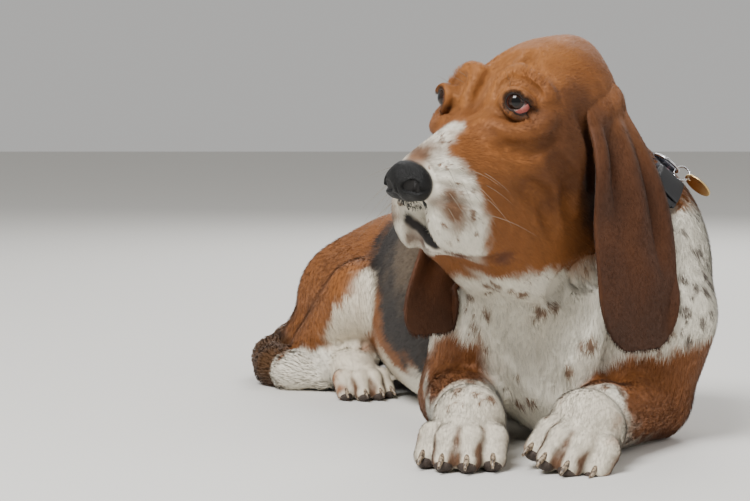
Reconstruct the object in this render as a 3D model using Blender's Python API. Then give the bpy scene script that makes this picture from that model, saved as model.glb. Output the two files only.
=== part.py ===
"""A basset hound that lies on its belly with its head turned, life size, in its named parts.

All sizes are in metres. X is to the right, Y away and Z up, and the floor is Z = 0.
The chest faces -Y, the hips lie behind it and to -X, and the head is turned to -X.
The flesh is a set of balls and tapering bars that blend into one another. They are made as
Blender primitives, joined by a voxel remesh, and the mesh is then settled onto the blended
surface, thinned, and parted by closed regions, each 0.3 mm bigger where it cuts than where it keeps.
"""

import math

import bmesh
import bpy
import numpy as np
from mathutils import Matrix, Vector

# Gap between parts that touch, and how softly lumps of flesh blend
GAP = 0.0003
SOFT = 0.020
FIRM = 0.010
CRISP = 0.004

# Head: where the middle of the skull is, and how the head is held
SKULL_CENTRE = Vector((0.160, 0.140, 0.330))
HEAD_YAW = math.radians(-134)
HEAD_PITCH = math.radians(19)
HEAD_ROLL = math.radians(-3)
EYE_RADIUS = 0.0128
EYE_FORWARD, EYE_ASIDE, EYE_UP = 0.0775, 0.0400, 0.0372
GAZE = Vector((0.80, 0.60, 0.06)).normalized()
LID_THICKNESS = 0.0016
NOSE_FORWARD, NOSE_UP = 0.197, 0.001

# Trunk: the hips, and the way from them to the shoulders
HIPS = Vector((0.037, 0.660, 0.0))
TRUNK_HEADING = math.radians(-66.1)

# Ears
EAR_THICKNESS = 0.0052
EAR_ROWS, EAR_COLUMNS = 17, 9

# Neck, the crease between throat and chest that the collar lies in, and the collar
NECK_LOW, NECK_HIGH = Vector((0.250, 0.318, 0.182)), Vector((0.184, 0.186, 0.300))
THROAT_CREASE = Vector((0.172, 0.152, 0.168))
COLLAR_WIDTH, COLLAR_THICKNESS, COLLAR_SUNK = 0.025, 0.0030, 0.0012
COLLAR_REACH = {"front": 0.116, "left": 0.090, "back": 0.090, "right": 0.092}
COLLAR_STEPS = 48
BUCKLE_STEPS = (9, 14)
RING_STEP = 15
TAG_HANGS = Vector((0.74, -0.36, -0.57)).normalized()
TAG_ACROSS = Vector((0.20, -0.92, 0.30))
TAG_CORNER = math.radians(-60)

# Least height of a claw over the floor
CLAW_CLEAR = 0.0006

# Triangles and voxels
HEAD_VOXEL, HEAD_TRIANGLES = 0.0026, 3400
BODY_VOXEL, BODY_TRIANGLES = 0.0040, 4500
TAIL_VOXEL, TAIL_TRIANGLES = 0.0040, 300


def turned(yaw=0.0, pitch=0.0, roll=0.0):
    """The turn whose x axis points along yaw, then down by pitch, with a roll about it."""
    return Matrix.Rotation(yaw, 3, "Z") @ Matrix.Rotation(pitch, 3, "Y") @ Matrix.Rotation(roll, 3, "X")


class Place:
    """A frame to put things in: an origin, and x forward, y to the hound's left and z up."""

    def __init__(self, origin, turn):
        self.origin = Vector(origin)
        self.turn = turn

    def point(self, x, y, z):
        """The world point at x, y, z of this frame."""
        return self.origin + self.turn @ Vector((x, y, z))

    def matrix(self, x=0.0, y=0.0, z=0.0):
        """The world matrix of this frame, moved to x, y, z of it."""
        return Matrix.Translation(self.point(x, y, z)) @ self.turn.to_4x4()


SKULL = Place(SKULL_CENTRE, turned(HEAD_YAW, HEAD_PITCH, HEAD_ROLL))
HANG = Place(SKULL_CENTRE, turned(HEAD_YAW, 0.0, HEAD_ROLL))
WORLD = Place((0, 0, 0), Matrix.Identity(3))
TRUNK = Place(HIPS, turned(TRUNK_HEADING))


def frame_of(up, front):
    """The turn whose z axis is up and whose x axis leans to front."""
    z = Vector(up).normalized()
    y = z.cross(front).normalized()
    return Matrix((y.cross(z), y, z)).transposed()


NECK_MIDDLE = (NECK_LOW + NECK_HIGH) / 2
NECK = Place(NECK_MIDDLE, frame_of(NECK_HIGH - NECK_LOW, (0, -1, 0)))
THROAT_WAY = THROAT_CREASE - NECK_MIDDLE
COLLAR = Place(NECK_MIDDLE, frame_of(THROAT_WAY.cross(NECK.turn.col[1]), THROAT_WAY))


class Ball:
    """A ball stretched along the axes of the place that it sits in."""

    def __init__(self, place, centre, radii, blend=SOFT, carves=False, fineness=2):
        self.fineness = fineness
        self.place = Place(place.point(*centre), place.turn)
        self.radii = np.array(radii, float)
        self.blend = blend
        self.carves = carves

    def depth(self, points):
        """How far outside the ball each point is, and below zero inside it."""
        turn = np.array(self.place.turn)
        local = (points - np.array(self.place.origin)) @ turn / self.radii
        reach = np.linalg.norm(local, axis=1)
        slope = np.linalg.norm(local / self.radii, axis=1)
        return reach * (reach - 1.0) / np.maximum(slope, 1e-6)

    def add_to(self, bm, extra=0.0):
        """Adds the ball as a mesh, extra bigger all round."""
        matrix = self.place.matrix() @ Matrix.Diagonal((*(self.radii + extra), 1.0))
        bmesh.ops.create_icosphere(bm, subdivisions=self.fineness, radius=1.0, matrix=matrix)


class Bar:
    """A bar with round ends whose radius goes evenly from the one to the other."""

    def __init__(self, place, start, end, radius_start, radius_end, blend=SOFT, carves=False):
        self.start = place.point(*start)
        self.end = place.point(*end)
        self.radii = (radius_start, radius_end)
        self.blend = blend
        self.carves = carves

    def depth(self, points):
        """How far outside the bar each point is, and below zero inside it."""
        start = np.array(self.start)
        axis = np.array(self.end) - start
        along = np.clip((points - start) @ axis / (axis @ axis), 0.0, 1.0)
        radius = self.radii[0] + along * (self.radii[1] - self.radii[0])
        return np.linalg.norm(points - start - along[:, None] * axis, axis=1) - radius

    def add_to(self, bm, extra=0.0):
        """Adds the bar as a mesh, extra bigger all round."""
        ends = bmesh.new()
        for centre, radius in zip((self.start, self.end), self.radii):
            bmesh.ops.create_icosphere(
                ends, subdivisions=2, radius=radius + extra, matrix=Matrix.Translation(centre)
            )
        verts = [bm.verts.new(vert.co) for vert in ends.verts]
        ends.free()
        hull = bmesh.ops.convex_hull(bm, input=verts)
        left_over = {g for g in hull["geom_interior"] + hull["geom_unused"]}
        inside = [g for g in left_over if isinstance(g, bmesh.types.BMVert)]
        bmesh.ops.delete(bm, geom=inside, context="VERTS")


class Box:
    """A box set square in a place, from its low corner to its high one. It is used to part the flesh."""

    def __init__(self, place, low, high):
        self.place = place
        self.low = Vector(low)
        self.high = Vector(high)

    def add_to(self, bm, extra=0.0):
        """Adds the box as a mesh, extra bigger all round."""
        middle = (self.low + self.high) / 2
        size = self.high - self.low + Vector((2 * extra,) * 3)
        matrix = self.place.matrix(*middle) @ Matrix.Diagonal((*size, 1.0))
        bmesh.ops.create_cube(bm, size=1.0, matrix=matrix)


def both_sides(make):
    """What make gives for the left side, +1, and for the right side, -1."""
    return [lump for side in (1, -1) for lump in make(side)]


def chain(place, points, radii, blend, carves=False):
    """Bars from point to point, like the bones of a tail."""
    stretches = zip(points, points[1:], radii, radii[1:])
    return [Bar(place, start, end, r0, r1, blend, carves) for start, end, r0, r1 in stretches]


def eye_place(side):
    """The frame of an eyeball, whose x axis is the way that it looks."""
    gaze = Vector((GAZE.x, side * GAZE.y, GAZE.z))
    turn = frame_of((0, 0, 1), gaze)
    return Place(SKULL.point(EYE_FORWARD, side * EYE_ASIDE, EYE_UP), SKULL.turn @ turn)


def skull_lumps():
    """The skull, brows, cheeks and the top of the muzzle."""
    def sides(side):
        return [
            Ball(SKULL, (0.059, side * 0.030, 0.041), (0.029, 0.018, 0.016), FIRM),
            Ball(SKULL, (0.046, side * 0.043, 0.012), (0.040, 0.024, 0.030)),
            Ball(SKULL, (0.078, side * 0.024, 0.002), (0.044, 0.024, 0.026)),
            Ball(SKULL, (0.030, side * 0.040, -0.030), (0.062, 0.030, 0.056), 0.03),
            Bar(SKULL, (0.045, side * 0.034, -0.026), (0.122, side * 0.016, -0.026), 0.034, 0.024, 0.03),
            Ball(SKULL, (0.152, side * 0.015, -0.015), (0.040, 0.020, 0.030), FIRM),
        ]

    middle = [
        Ball(SKULL, (-0.010, 0, 0.006), (0.074, 0.064, 0.061)),
        Ball(SKULL, (-0.056, 0, 0.030), (0.026, 0.024, 0.024)),
        Ball(SKULL, (0.032, 0, 0.020), (0.050, 0.048, 0.042)),
        Bar(SKULL, (0.070, 0, 0.008), (0.182, 0, 0.002), 0.030, 0.0205),
    ]
    return middle + both_sides(sides)


def lip_lumps():
    """The hanging lips, chin, jaw and the loose skin of the throat."""
    def sides(side):
        return [
            Ball(HANG, (0.138, side * 0.021, -0.086), (0.039, 0.019, 0.046), FIRM),
            Ball(HANG, (0.108, side * 0.033, -0.094), (0.048, 0.019, 0.043)),
            Ball(HANG, (0.030, side * 0.028, -0.120), (0.072, 0.026, 0.060), 0.03),
        ]

    middle = [
        Bar(HANG, (0.030, 0, -0.105), (0.140, 0, -0.116), 0.036, 0.017, FIRM),
        Ball(HANG, (0.020, 0, -0.114), (0.074, 0.044, 0.060), 0.03),
    ]
    return middle + both_sides(sides)


def eyelid_lumps():
    """Hollows round the eyes, and the lids, which fit the eyeballs."""
    def sides(side):
        eye = eye_place(side)
        return [
            Ball(eye, (0.015, 0, -0.001), (0.010, 0.020, 0.015), FIRM, carves=True),
            Ball(eye, (0, 0, 0), (EYE_RADIUS + LID_THICKNESS,) * 3, 0.005),
        ]

    return both_sides(sides)


def nose_lumps():
    """The nose pad and the wings of its nostrils."""
    middle = [Ball(SKULL, (NOSE_FORWARD, 0, NOSE_UP), (0.017, 0.020, 0.0185), CRISP)]


    def wing(side):
        centre = (NOSE_FORWARD - 0.001, side * 0.0135, NOSE_UP - 0.003)
        return [Ball(SKULL, centre, (0.0150, 0.0110, 0.0140), CRISP)]

    return middle + both_sides(wing)


def neck_lumps():
    """The neck, from behind the skull to the withers and the forechest."""
    return [
        Bar(WORLD, NECK_HIGH, NECK_LOW, 0.064, 0.094, 0.03),
        Bar(WORLD, HANG.point(-0.01, 0, -0.075), (0.205, 0.225, 0.150), 0.052, 0.085, 0.03),
    ]


def collar_reach(angle):
    """How far from the middle of the neck the collar may lie, at an angle from the front to the left."""
    along, aside = math.cos(angle), math.sin(angle)
    reach_along = COLLAR_REACH["front" if along > 0 else "back"]
    reach_aside = COLLAR_REACH["left" if aside > 0 else "right"]
    return 1.0 / math.hypot(along / reach_along, aside / reach_aside)


def crease_lumps():
    """The fold round the neck that the collar lies in, deep under the throat."""
    points, radii = [], []
    for step in range(25):
        angle = 2 * math.pi * step / 24
        reach = collar_reach(angle) + 0.015
        points.append((reach * math.cos(angle), reach * math.sin(angle), 0.0))
        radii.append(0.0145 + 0.0035 * max(math.cos(angle), 0.0))
    return chain(COLLAR, points, radii, FIRM, carves=True)


def trunk_lumps():
    """The chest, ribs, loin, rump and the belly that lies on the floor."""
    soft = 0.045
    return [
        Ball(WORLD, (0.205, 0.250, 0.125), (0.098, 0.122, 0.122), soft),
        Ball(WORLD, (0.182, 0.175, 0.085), (0.070, 0.060, 0.075), soft),
        Ball(WORLD, (0.120, 0.215, 0.135), (0.048, 0.070, 0.085), soft),
        Ball(WORLD, (0.286, 0.220, 0.145), (0.052, 0.078, 0.090), soft),
        Ball(WORLD, (0.276, 0.270, 0.195), (0.058, 0.090, 0.075), soft),
        Ball(TRUNK, (0.285, -0.010, 0.126), (0.190, 0.114, 0.120), soft),
        Ball(TRUNK, (0.120, 0.0, 0.120), (0.150, 0.094, 0.098), soft),
        Ball(TRUNK, (0.000, 0.0, 0.114), (0.106, 0.092, 0.088), soft),
        Ball(TRUNK, (0.240, 0.0, 0.070), (0.200, 0.110, 0.080), soft),
    ]


class ForeLeg:
    """One front leg: its elbow on the floor, the forearm, the wrist and the paw."""

    def __init__(self, name, shoulder, elbow, wrist, paw_heading, paw_roll):
        self.node = f"foreleg_{name}"
        self.shoulder, self.elbow, self.wrist = Vector(shoulder), Vector(elbow), Vector(wrist)
        heading = math.atan2(paw_heading[1], paw_heading[0])
        self.paw = Paw(f"forepaw_{name}", self.wrist, heading, paw_roll, 1.0, f"claw_fore_{name}")
        way = self.wrist - self.elbow
        self.arm = Place(self.elbow, turned(math.atan2(way.y, way.x)))
        self.length = way.xy.length

    def lumps(self):
        """The upper arm, forearm and wrist, without the paw."""
        return [
            Bar(WORLD, self.shoulder, self.elbow, 0.050, 0.041, SOFT),
            Bar(WORLD, self.elbow, self.wrist, 0.043, 0.031, FIRM),
            Ball(WORLD, self.wrist, (0.033, 0.033, 0.031), FIRM),
        ]

    def region(self):
        """The bar that parts the leg from the trunk."""
        return Bar(self.arm, (-0.006, 0, 0), (self.length + 0.02, 0, 0), 0.062, 0.050)


class Paw:
    """A paw of four toes on its pads, from the wrist or the end of the hind foot."""

    toe_reach = (0.046, 0.060, 0.060, 0.044)
    toe_aside = (0.0315, 0.0110, -0.0110, -0.0315)

    def __init__(self, name, root, heading, roll, size, claw_name):
        self.name = name
        self.size = size
        self.claw_name = claw_name
        floor_root = Vector((root.x, root.y, 0.0))
        self.place = Place(floor_root, turned(heading, 0.0, roll))

    def toes(self):
        """For each toe, its knuckle, its tip, and the way that it points."""
        for reach, aside in zip(self.toe_reach, self.toe_aside):
            knuckle = Vector((reach - 0.016, aside * 0.92, 0.0275)) * self.size
            tip = Vector((reach, aside, 0.0110)) * self.size
            yield knuckle, tip, Vector((1.0, aside * 5.0, 0.0)).normalized()

    def lumps(self):
        """The middle of the paw, its heel pad and its toes."""
        s = self.size
        found = [
            Bar(self.place, (0.0, 0, 0.034 * s), (0.026 * s, 0, 0.027 * s), 0.031 * s, 0.026 * s, FIRM),
            Ball(self.place, (0.016 * s, 0, 0.009 * s), (0.024 * s, 0.026 * s, 0.013 * s), CRISP),
        ]
        for knuckle, tip, way in self.toes():
            root = Vector((0.010 * s, knuckle.y * 0.60, 0.030 * s))
            found.append(Bar(self.place, root, knuckle, 0.0150 * s, 0.0135 * s, CRISP))
            found.append(Bar(self.place, knuckle, tip, 0.0135 * s, 0.0125 * s, CRISP))
        return found

    def region(self):
        """The box that parts the paw from its leg."""
        s = self.size
        return Box(self.place, (0.006 * s, -0.050 * s, -0.08), (0.13 * s, 0.050 * s, 0.075 * s))


LEFT_FORE = ForeLeg(
    "left", (0.290, 0.182, 0.125), (0.276, 0.203, 0.041), (0.196, 0.056, 0.038),
    (-0.50, -0.86), math.radians(-14),
)
RIGHT_FORE = ForeLeg(
    "right", (0.108, 0.195, 0.120), (0.088, 0.225, 0.041), (0.089, 0.070, 0.040),
    (-0.24, -0.97), 0.0,
)


class HindLeg:
    """One hind leg, folded beside the belly: side is +1 for the left one and -1 for the right one."""

    def __init__(self, name, side):
        self.node = f"hindleg_{name}"
        self.side = side
        self.toe_root = TRUNK.point(0.112, side * 0.117, 0.0)
        heading = TRUNK_HEADING + side * 0.02
        self.paw = Paw(f"hindpaw_{name}", self.toe_root, heading, 0.0, 0.82, f"claw_hind_{name}")

    def lumps(self):
        """The thigh, shin, heel and foot, without the paw."""
        s = self.side
        return [
            Bar(TRUNK, (0.000, s * 0.060, 0.100), (0.092, s * 0.090, 0.108), 0.078, 0.050, SOFT),
            Ball(TRUNK, (-0.030, s * 0.085, 0.045), (0.075, 0.060, 0.055), SOFT),
            Bar(TRUNK, (0.098, s * 0.104, 0.112), (0.016, s * 0.122, 0.048), 0.042, 0.032, FIRM),
            Bar(TRUNK, (0.006, s * 0.122, 0.034), (0.112, s * 0.117, 0.028), 0.031, 0.024, FIRM),
        ]

    def region(self):
        """The ball that parts the leg from the trunk."""
        return Ball(TRUNK, (0.034, self.side * 0.118, 0.080), (0.150, 0.078, 0.120))


HIND_LEGS = (HindLeg("left", 1), HindLeg("right", -1))


def tail_lumps():
    """The tail, laid on the floor round the right haunch."""
    points = (
        (0.010, 0.735, 0.110), (-0.052, 0.765, 0.060), (-0.104, 0.730, 0.034), (-0.126, 0.665, 0.025),
        (-0.120, 0.600, 0.022), (-0.096, 0.560, 0.020), (-0.066, 0.545, 0.016),
    )
    radii = (0.034, 0.027, 0.024, 0.023, 0.023, 0.022, 0.014)
    return chain(WORLD, points, radii, 0.012)


def mouth_lumps():
    """Grooves pressed into the flesh: the line of the mouth and the fold between the lips."""
    def sides(side):
        lip = ((0.182, side * 0.001, -0.088), (0.171, side * 0.005, -0.106), (0.154, side * 0.015, -0.127),
               (0.124, side * 0.038, -0.138), (0.094, side * 0.052, -0.130))
        return chain(HANG, lip, (0.0040, 0.0062, 0.0070, 0.0056, 0.0030), CRISP, carves=True)

    philtrum = Bar(HANG, (0.198, 0, -0.076), (0.182, 0, -0.092), 0.0018, 0.0035, CRISP, carves=True)
    return [philtrum] + both_sides(sides)


def whole_flesh():
    """All the flesh but the tail, in the order that it blends."""
    outside = skull_lumps() + lip_lumps() + nose_lumps() + body_lumps()
    return outside + crease_lumps() + eyelid_lumps() + mouth_lumps()


def body_lumps():
    """All that makes the body and its legs, without the tail."""
    found = trunk_lumps() + neck_lumps()
    for leg in (LEFT_FORE, RIGHT_FORE, *HIND_LEGS):
        found += leg.lumps() + leg.paw.lumps()
    return found


def soft_union(a, b, blend):
    """The smaller of two depths, rounded where they meet."""
    share = np.maximum(blend - np.abs(a - b), 0.0) / blend
    return np.minimum(a, b) - share * share * blend / 4


def flesh_depth(points, lumps):
    """How far outside the blended flesh each point is. Lumps that carve take flesh away."""
    depth = np.full(len(points), 1.0)
    for lump in lumps:
        if lump.carves:
            depth = -soft_union(-depth, lump.depth(points), lump.blend)
        else:
            depth = soft_union(depth, lump.depth(points), lump.blend)
    return depth


def depth_and_slope(points, lumps):
    """The depth of each point, and which way it grows fastest."""
    step = 0.0004
    corners = np.array(((1, 1, 1), (1, -1, -1), (-1, 1, -1), (-1, -1, 1)), float)
    samples = [flesh_depth(points + corner * step, lumps) for corner in corners]
    slope = sum(np.outer(s, c) for s, c in zip(samples, corners)) / (4 * step)
    return sum(samples) / 4, slope


def points_of(mesh):
    """The mesh's points, as an array."""
    flat = np.empty(len(mesh.vertices) * 3)
    mesh.vertices.foreach_get("co", flat)
    return flat.reshape(-1, 3)


def settle(mesh, lumps, rounds):
    """Moves a mesh's points onto the surface of the blended flesh."""
    points = points_of(mesh)
    for _ in range(rounds):
        depth, slope = depth_and_slope(points, lumps)
        size = np.maximum((slope**2).sum(axis=1), 0.2)
        points -= slope * np.clip(depth / size, -0.012, 0.012)[:, None]
    mesh.vertices.foreach_set("co", points.ravel())
    mesh.update()


def object_of(name, mesh):
    """A new object in the scene that shows this mesh."""
    made = bpy.data.objects.new(name, mesh)
    bpy.context.scene.collection.objects.link(made)
    return made


def object_from(name, bm):
    """A new object from a bmesh, which is freed."""
    mesh = bpy.data.meshes.new(name)
    bm.to_mesh(mesh)
    bm.free()
    return object_of(name, mesh)


def apply_modifiers(obj):
    """Gives the object the mesh that its modifiers make, and drops them."""
    bpy.context.view_layer.update()
    graph = bpy.context.evaluated_depsgraph_get()
    obj.data = bpy.data.meshes.new_from_object(obj.evaluated_get(graph))
    obj.modifiers.clear()


def triangulate(obj):
    """Splits every face into triangles."""
    bm = bmesh.new()
    bm.from_mesh(obj.data)
    bmesh.ops.triangulate(bm, faces=bm.faces)
    bm.to_mesh(obj.data)
    bm.free()


def grow(name, lumps, onto, fine, least, voxel, triangles):
    """One closed mesh over these lumps, settled onto the flesh of onto and thinned, least near fine."""
    bm = bmesh.new()
    for lump in lumps:
        if not lump.carves:
            lump.add_to(bm)
    made = object_from(name, bm)
    remesh = made.modifiers.new("join", "REMESH")
    remesh.mode = "VOXEL"
    remesh.voxel_size = voxel
    apply_modifiers(made)
    settle(made.data, onto, 4)
    relax(made, 2)
    settle(made.data, onto, 2)
    keep_detail(made, fine, least)
    thin = made.modifiers.new("thin", "DECIMATE")
    thin.ratio = triangles / (2 * len(made.data.polygons))
    thin.vertex_group = "plain"
    thin.vertex_group_factor = 1.0
    apply_modifiers(made)
    made.vertex_groups.clear()
    relax(made, 1)
    settle(made.data, onto, 2)
    triangulate(made)
    return made


def keep_detail(obj, fine, least):
    """Marks how much each place may be thinned: all, but little near the lumps of fine."""
    points = points_of(obj.data)
    nearest = np.min([lump.depth(points) for lump in fine], axis=0)
    plain = obj.vertex_groups.new(name="plain")
    for step in range(6):
        near = np.flatnonzero(nearest > 0.003 * step) if step else np.arange(len(points))
        plain.add(near.tolist(), least + (1.0 - least) * step / 5, "REPLACE")


def relax(obj, rounds):
    """Evens out the mesh, without moving the edge of a sheet."""
    bm = bmesh.new()
    bm.from_mesh(obj.data)
    inner = [vert for vert in bm.verts if not vert.is_boundary]
    for _ in range(rounds):
        bmesh.ops.smooth_vert(bm, verts=inner, factor=0.5, use_axis_x=True, use_axis_y=True, use_axis_z=True)
    bm.to_mesh(obj.data)
    bm.free()


def keep_largest(obj):
    """Drops all but the largest closed surface of a mesh."""
    bm = bmesh.new()
    bm.from_mesh(obj.data)
    bm.verts.ensure_lookup_table()
    left, shells = set(bm.verts), []
    while left:
        shell, edge = set(), [left.pop()]
        while edge:
            vert = edge.pop()
            shell.add(vert)
            for link in vert.link_edges:
                other = link.other_vert(vert)
                if other in left:
                    left.discard(other)
                    edge.append(other)
        shells.append(shell)
    shells.sort(key=len, reverse=True)
    for shell in shells[1:]:
        bmesh.ops.delete(bm, geom=list(shell), context="VERTS")
    bm.to_mesh(obj.data)
    bm.free()


def combine(obj, other, operation):
    """A Boolean with another object, which is kept, applied to obj."""
    boolean = obj.modifiers.new("cut", "BOOLEAN")
    boolean.operation = operation
    boolean.object = other
    boolean.solver = "EXACT"
    apply_modifiers(obj)
    keep_largest(obj)
    triangulate(obj)


def cut_with(obj, region, operation, extra):
    """Cuts obj by a ball or box, extra bigger all round."""
    bm = bmesh.new()
    region.add_to(bm, extra)
    cutter = object_from("cutter", bm)
    combine(obj, cutter, operation)
    bpy.data.objects.remove(cutter)


def take(name, whole, region):
    """The part of whole in a region, as a new object. Whole is cut back by the gap."""
    part = object_of(name, whole.data.copy())
    cut_with(part, region, "INTERSECT", 0.0)
    cut_with(whole, region, "DIFFERENCE", GAP)
    return part


def cut_clear(obj, others):
    """Cuts obj back from each of the others by the gap."""
    for other in others:
        shell = object_of("shell", other.data.copy())
        swell(shell.data, GAP)
        combine(obj, shell, "DIFFERENCE")
        bpy.data.objects.remove(shell)


def swell(mesh, distance):
    """Moves each point of a mesh outward."""
    for vertex, normal in zip(mesh.vertices, [v.normal.copy() for v in mesh.vertices]):
        vertex.co += normal * distance


def flatten_on_floor(obj):
    """Cuts the mesh flat at the floor."""
    cut_with(obj, Box(WORLD, (-1, -1, -0.3), (1, 1.5, 0)), "DIFFERENCE", 0.0)


class Ear:
    """One long ear, a leather sheet that hangs from the skull, with its folds."""

    def __init__(self, name, side, route, heading_top, heading_low, half_width, folds):
        self.name = name
        self.side = side
        self.route = [Vector(p) for p in route]
        self.heading_top, self.heading_low = heading_top, heading_low
        self.half_width = half_width
        self.folds = folds

    def centre(self, s):
        """The middle of the ear at s, from 0 at the root to 1 at the tip."""
        a, b, c, d = self.route
        m = 1.0 - s
        return a * m**3 + b * 3 * m * m * s + c * 3 * m * s * s + d * s**3

    def width(self, s):
        """Half the ear's width at s: narrow at the root, broad low down, with a round tip."""
        broad = 0.44 + 0.56 * math.sin(min(s / 0.72, 1.0) * math.pi / 2)
        tip = max(0.0, 1.0 - (max(s - 0.74, 0.0) / 0.26) ** 2.6) ** 0.5
        return self.half_width * broad * tip

    def point(self, s, t):
        """The place on the ear at s down it and t across it, from -1 at the front edge to 1 at the back."""
        heading = self.heading_top + (self.heading_low - self.heading_top) * s
        across = Vector((math.cos(heading), math.sin(heading), 0.0))
        outward = Vector((-across.y, across.x, 0.0)) * self.side
        lift = sum(fold(s, t) for fold in self.folds)
        cup = -0.010 * (1.0 - s) ** 2 * (t * t)
        return self.centre(s) + across * (t * self.width(s)) + outward * (lift + cup)

    def sheet(self, rows, columns):
        """The ear as one layer of faces."""
        bm = bmesh.new()
        bmesh.ops.create_grid(bm, x_segments=columns, y_segments=rows, size=1.0)
        for vert in bm.verts:
            down = (1.0 - vert.co.y) / 2
            vert.co = self.point(0.985 * math.sin(down * math.pi / 2) ** 0.9, vert.co.x)
        bmesh.ops.triangulate(bm, faces=bm.faces)
        bmesh.ops.recalc_face_normals(bm, faces=bm.faces)
        return bm

    def drape(self, mesh, lumps):
        """Pushes the sheet out of the flesh, so that only its thick root presses on the skull."""
        points = points_of(mesh)
        root = np.clip((points[:, 2] - self.route[0].z + 0.075) / 0.030, 0.0, 1.0)
        clear = EAR_THICKNESS / 2 + 0.001 - 0.0016 * root
        for _ in range(4):
            depth, slope = depth_and_slope(points, lumps)
            size = np.maximum((slope**2).sum(axis=1), 0.2)
            points += slope * np.clip((clear - depth) / size, 0.0, 0.02)[:, None]
        mesh.vertices.foreach_set("co", points.ravel())
        mesh.update()

    def build(self, lumps):
        """The ear as a closed solid of even thickness, draped over the flesh."""
        made = object_from(f"ear_{self.name}", self.sheet(EAR_ROWS, EAR_COLUMNS))
        self.drape(made.data, lumps)
        relax(made, 2)
        self.drape(made.data, lumps)
        thick = made.modifiers.new("leather", "SOLIDIFY")
        thick.thickness = EAR_THICKNESS
        thick.offset = 0.0
        apply_modifiers(made)
        triangulate(made)
        return made


def bump(x, middle, reach):
    """A smooth hump of height 1 at middle that ends at reach to either side."""
    u = min(abs(x - middle) / reach, 1.0)
    return (1.0 - u * u) ** 2


LEFT_EAR = Ear(
    "left", -1,
    ((0.200, 0.120, 0.364), (0.236, 0.104, 0.328), (0.252, 0.097, 0.200), (0.256, 0.106, 0.097)),
    math.radians(50), math.radians(38), 0.0535,
    (
        lambda s, t: 0.014 * bump(s, 0.34, 0.34) * bump(t, -0.55, 0.30),
        lambda s, t: -0.012 * bump(s, 0.50, 0.45) * bump(t, 0.55, 0.35),
        lambda s, t: -0.020 * bump(s, 0.36, 0.36) * bump(t, -1.0, 0.35),
    ),
)
RIGHT_EAR = Ear(
    "right", 1,
    ((0.136, 0.182, 0.366), (0.118, 0.208, 0.330), (0.090, 0.168, 0.200), (0.052, 0.130, 0.110)),
    math.radians(226), math.radians(212), 0.0480,
    (
        lambda s, t: 0.010 * bump(s, 0.40, 0.40) * bump(t, -0.4, 0.4),
        lambda s, t: -0.010 * bump(s, 0.55, 0.40) * bump(t, 0.5, 0.4),
    ),
)


def build_eye(name, side):
    """An eyeball that looks out of the skull."""
    bm = bmesh.new()
    bmesh.ops.create_icosphere(bm, subdivisions=2, radius=EYE_RADIUS, matrix=eye_place(side).matrix())
    return object_from(f"eye_{name}", bm)


def open_lids(head, side):
    """Opens the lids in the shape of an almond and makes room for the eyeball behind them."""
    eye = eye_place(side)
    slit = Ball(eye, (0.014, 0, -0.0014), (0.013, 0.0122, 0.0088))
    cut_with(head, slit, "DIFFERENCE", 0.0)
    cut_with(head, Ball(eye, (0, 0, 0), (EYE_RADIUS,) * 3), "DIFFERENCE", GAP)


def nostril_lumps(side):
    """The hollow of one nostril, a comma that opens to the side."""
    front, low = NOSE_FORWARD, NOSE_UP
    return [
        Bar(SKULL, (front + 0.021, side * 0.0085, low), (front + 0.004, side * 0.0100, low), 0.0042, 0.0026),
        Bar(
            SKULL, (front + 0.016, side * 0.0100, low - 0.002), (front + 0.009, side * 0.026, low - 0.005),
            0.0030, 0.0018,
        ),
    ]


def open_nostrils(nose):
    """Sinks the two nostrils into the nose."""
    for lump in both_sides(nostril_lumps):
        bm = bmesh.new()
        way = lump.end - lump.start
        turn = way.to_track_quat("Z", "Y").to_matrix().to_4x4()
        bmesh.ops.create_cone(
            bm, cap_ends=True, segments=8, radius1=lump.radii[0], radius2=lump.radii[1], depth=way.length,
            matrix=Matrix.Translation((lump.start + lump.end) / 2) @ turn,
        )
        cutter = object_from("cutter", bm)
        combine(nose, cutter, "DIFFERENCE")
        bpy.data.objects.remove(cutter)


def build_claws(paw):
    """The claws of one paw, each a blunt cone that bends down."""
    made = []
    for number, (_knuckle, tip, way) in enumerate(paw.toes(), 1):
        bm = bmesh.new()
        rings = 3
        radius, length = 0.0038 * paw.size, 0.0145 * paw.size
        bmesh.ops.create_cone(
            bm, cap_ends=True, segments=5, radius1=radius, radius2=radius * 0.45, depth=length
        )
        sides = [e for e in bm.edges if abs(e.verts[0].co.z - e.verts[1].co.z) > length / 2]
        bmesh.ops.subdivide_edges(bm, edges=sides, cuts=rings - 1)
        start = tip + way * 0.0075 * paw.size + Vector((0, 0, 0.0045 * paw.size))
        for vert in bm.verts:
            along = vert.co.z + length / 2
            drop = 0.30 * along + 20.0 * along * along
            side_way = Vector((-way.y, way.x, 0.0))
            place = start + way * along + side_way * vert.co.x + Vector((0, 0, vert.co.y * 1.25 - drop))
            vert.co = paw.place.point(*place)
            vert.co.z = max(vert.co.z, CLAW_CLEAR)
        bmesh.ops.triangulate(bm, faces=bm.faces)
        bmesh.ops.recalc_face_normals(bm, faces=bm.faces)
        made.append(object_from(f"{paw.claw_name}_{number}", bm))
    return made


def finish(name, colour, roughness, metallic=0.0):
    """A plain material of one colour."""
    made = bpy.data.materials.new(name)
    made.use_nodes = True
    shader = made.node_tree.nodes["Principled BSDF"]
    shader.inputs["Base Color"].default_value = (*colour, 1.0)
    shader.inputs["Roughness"].default_value = roughness
    shader.inputs["Metallic"].default_value = metallic
    return made


def paint(objects, material):
    """Gives each object this one material."""
    for obj in objects:
        obj.data.materials.clear()
        obj.data.materials.append(material)


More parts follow.
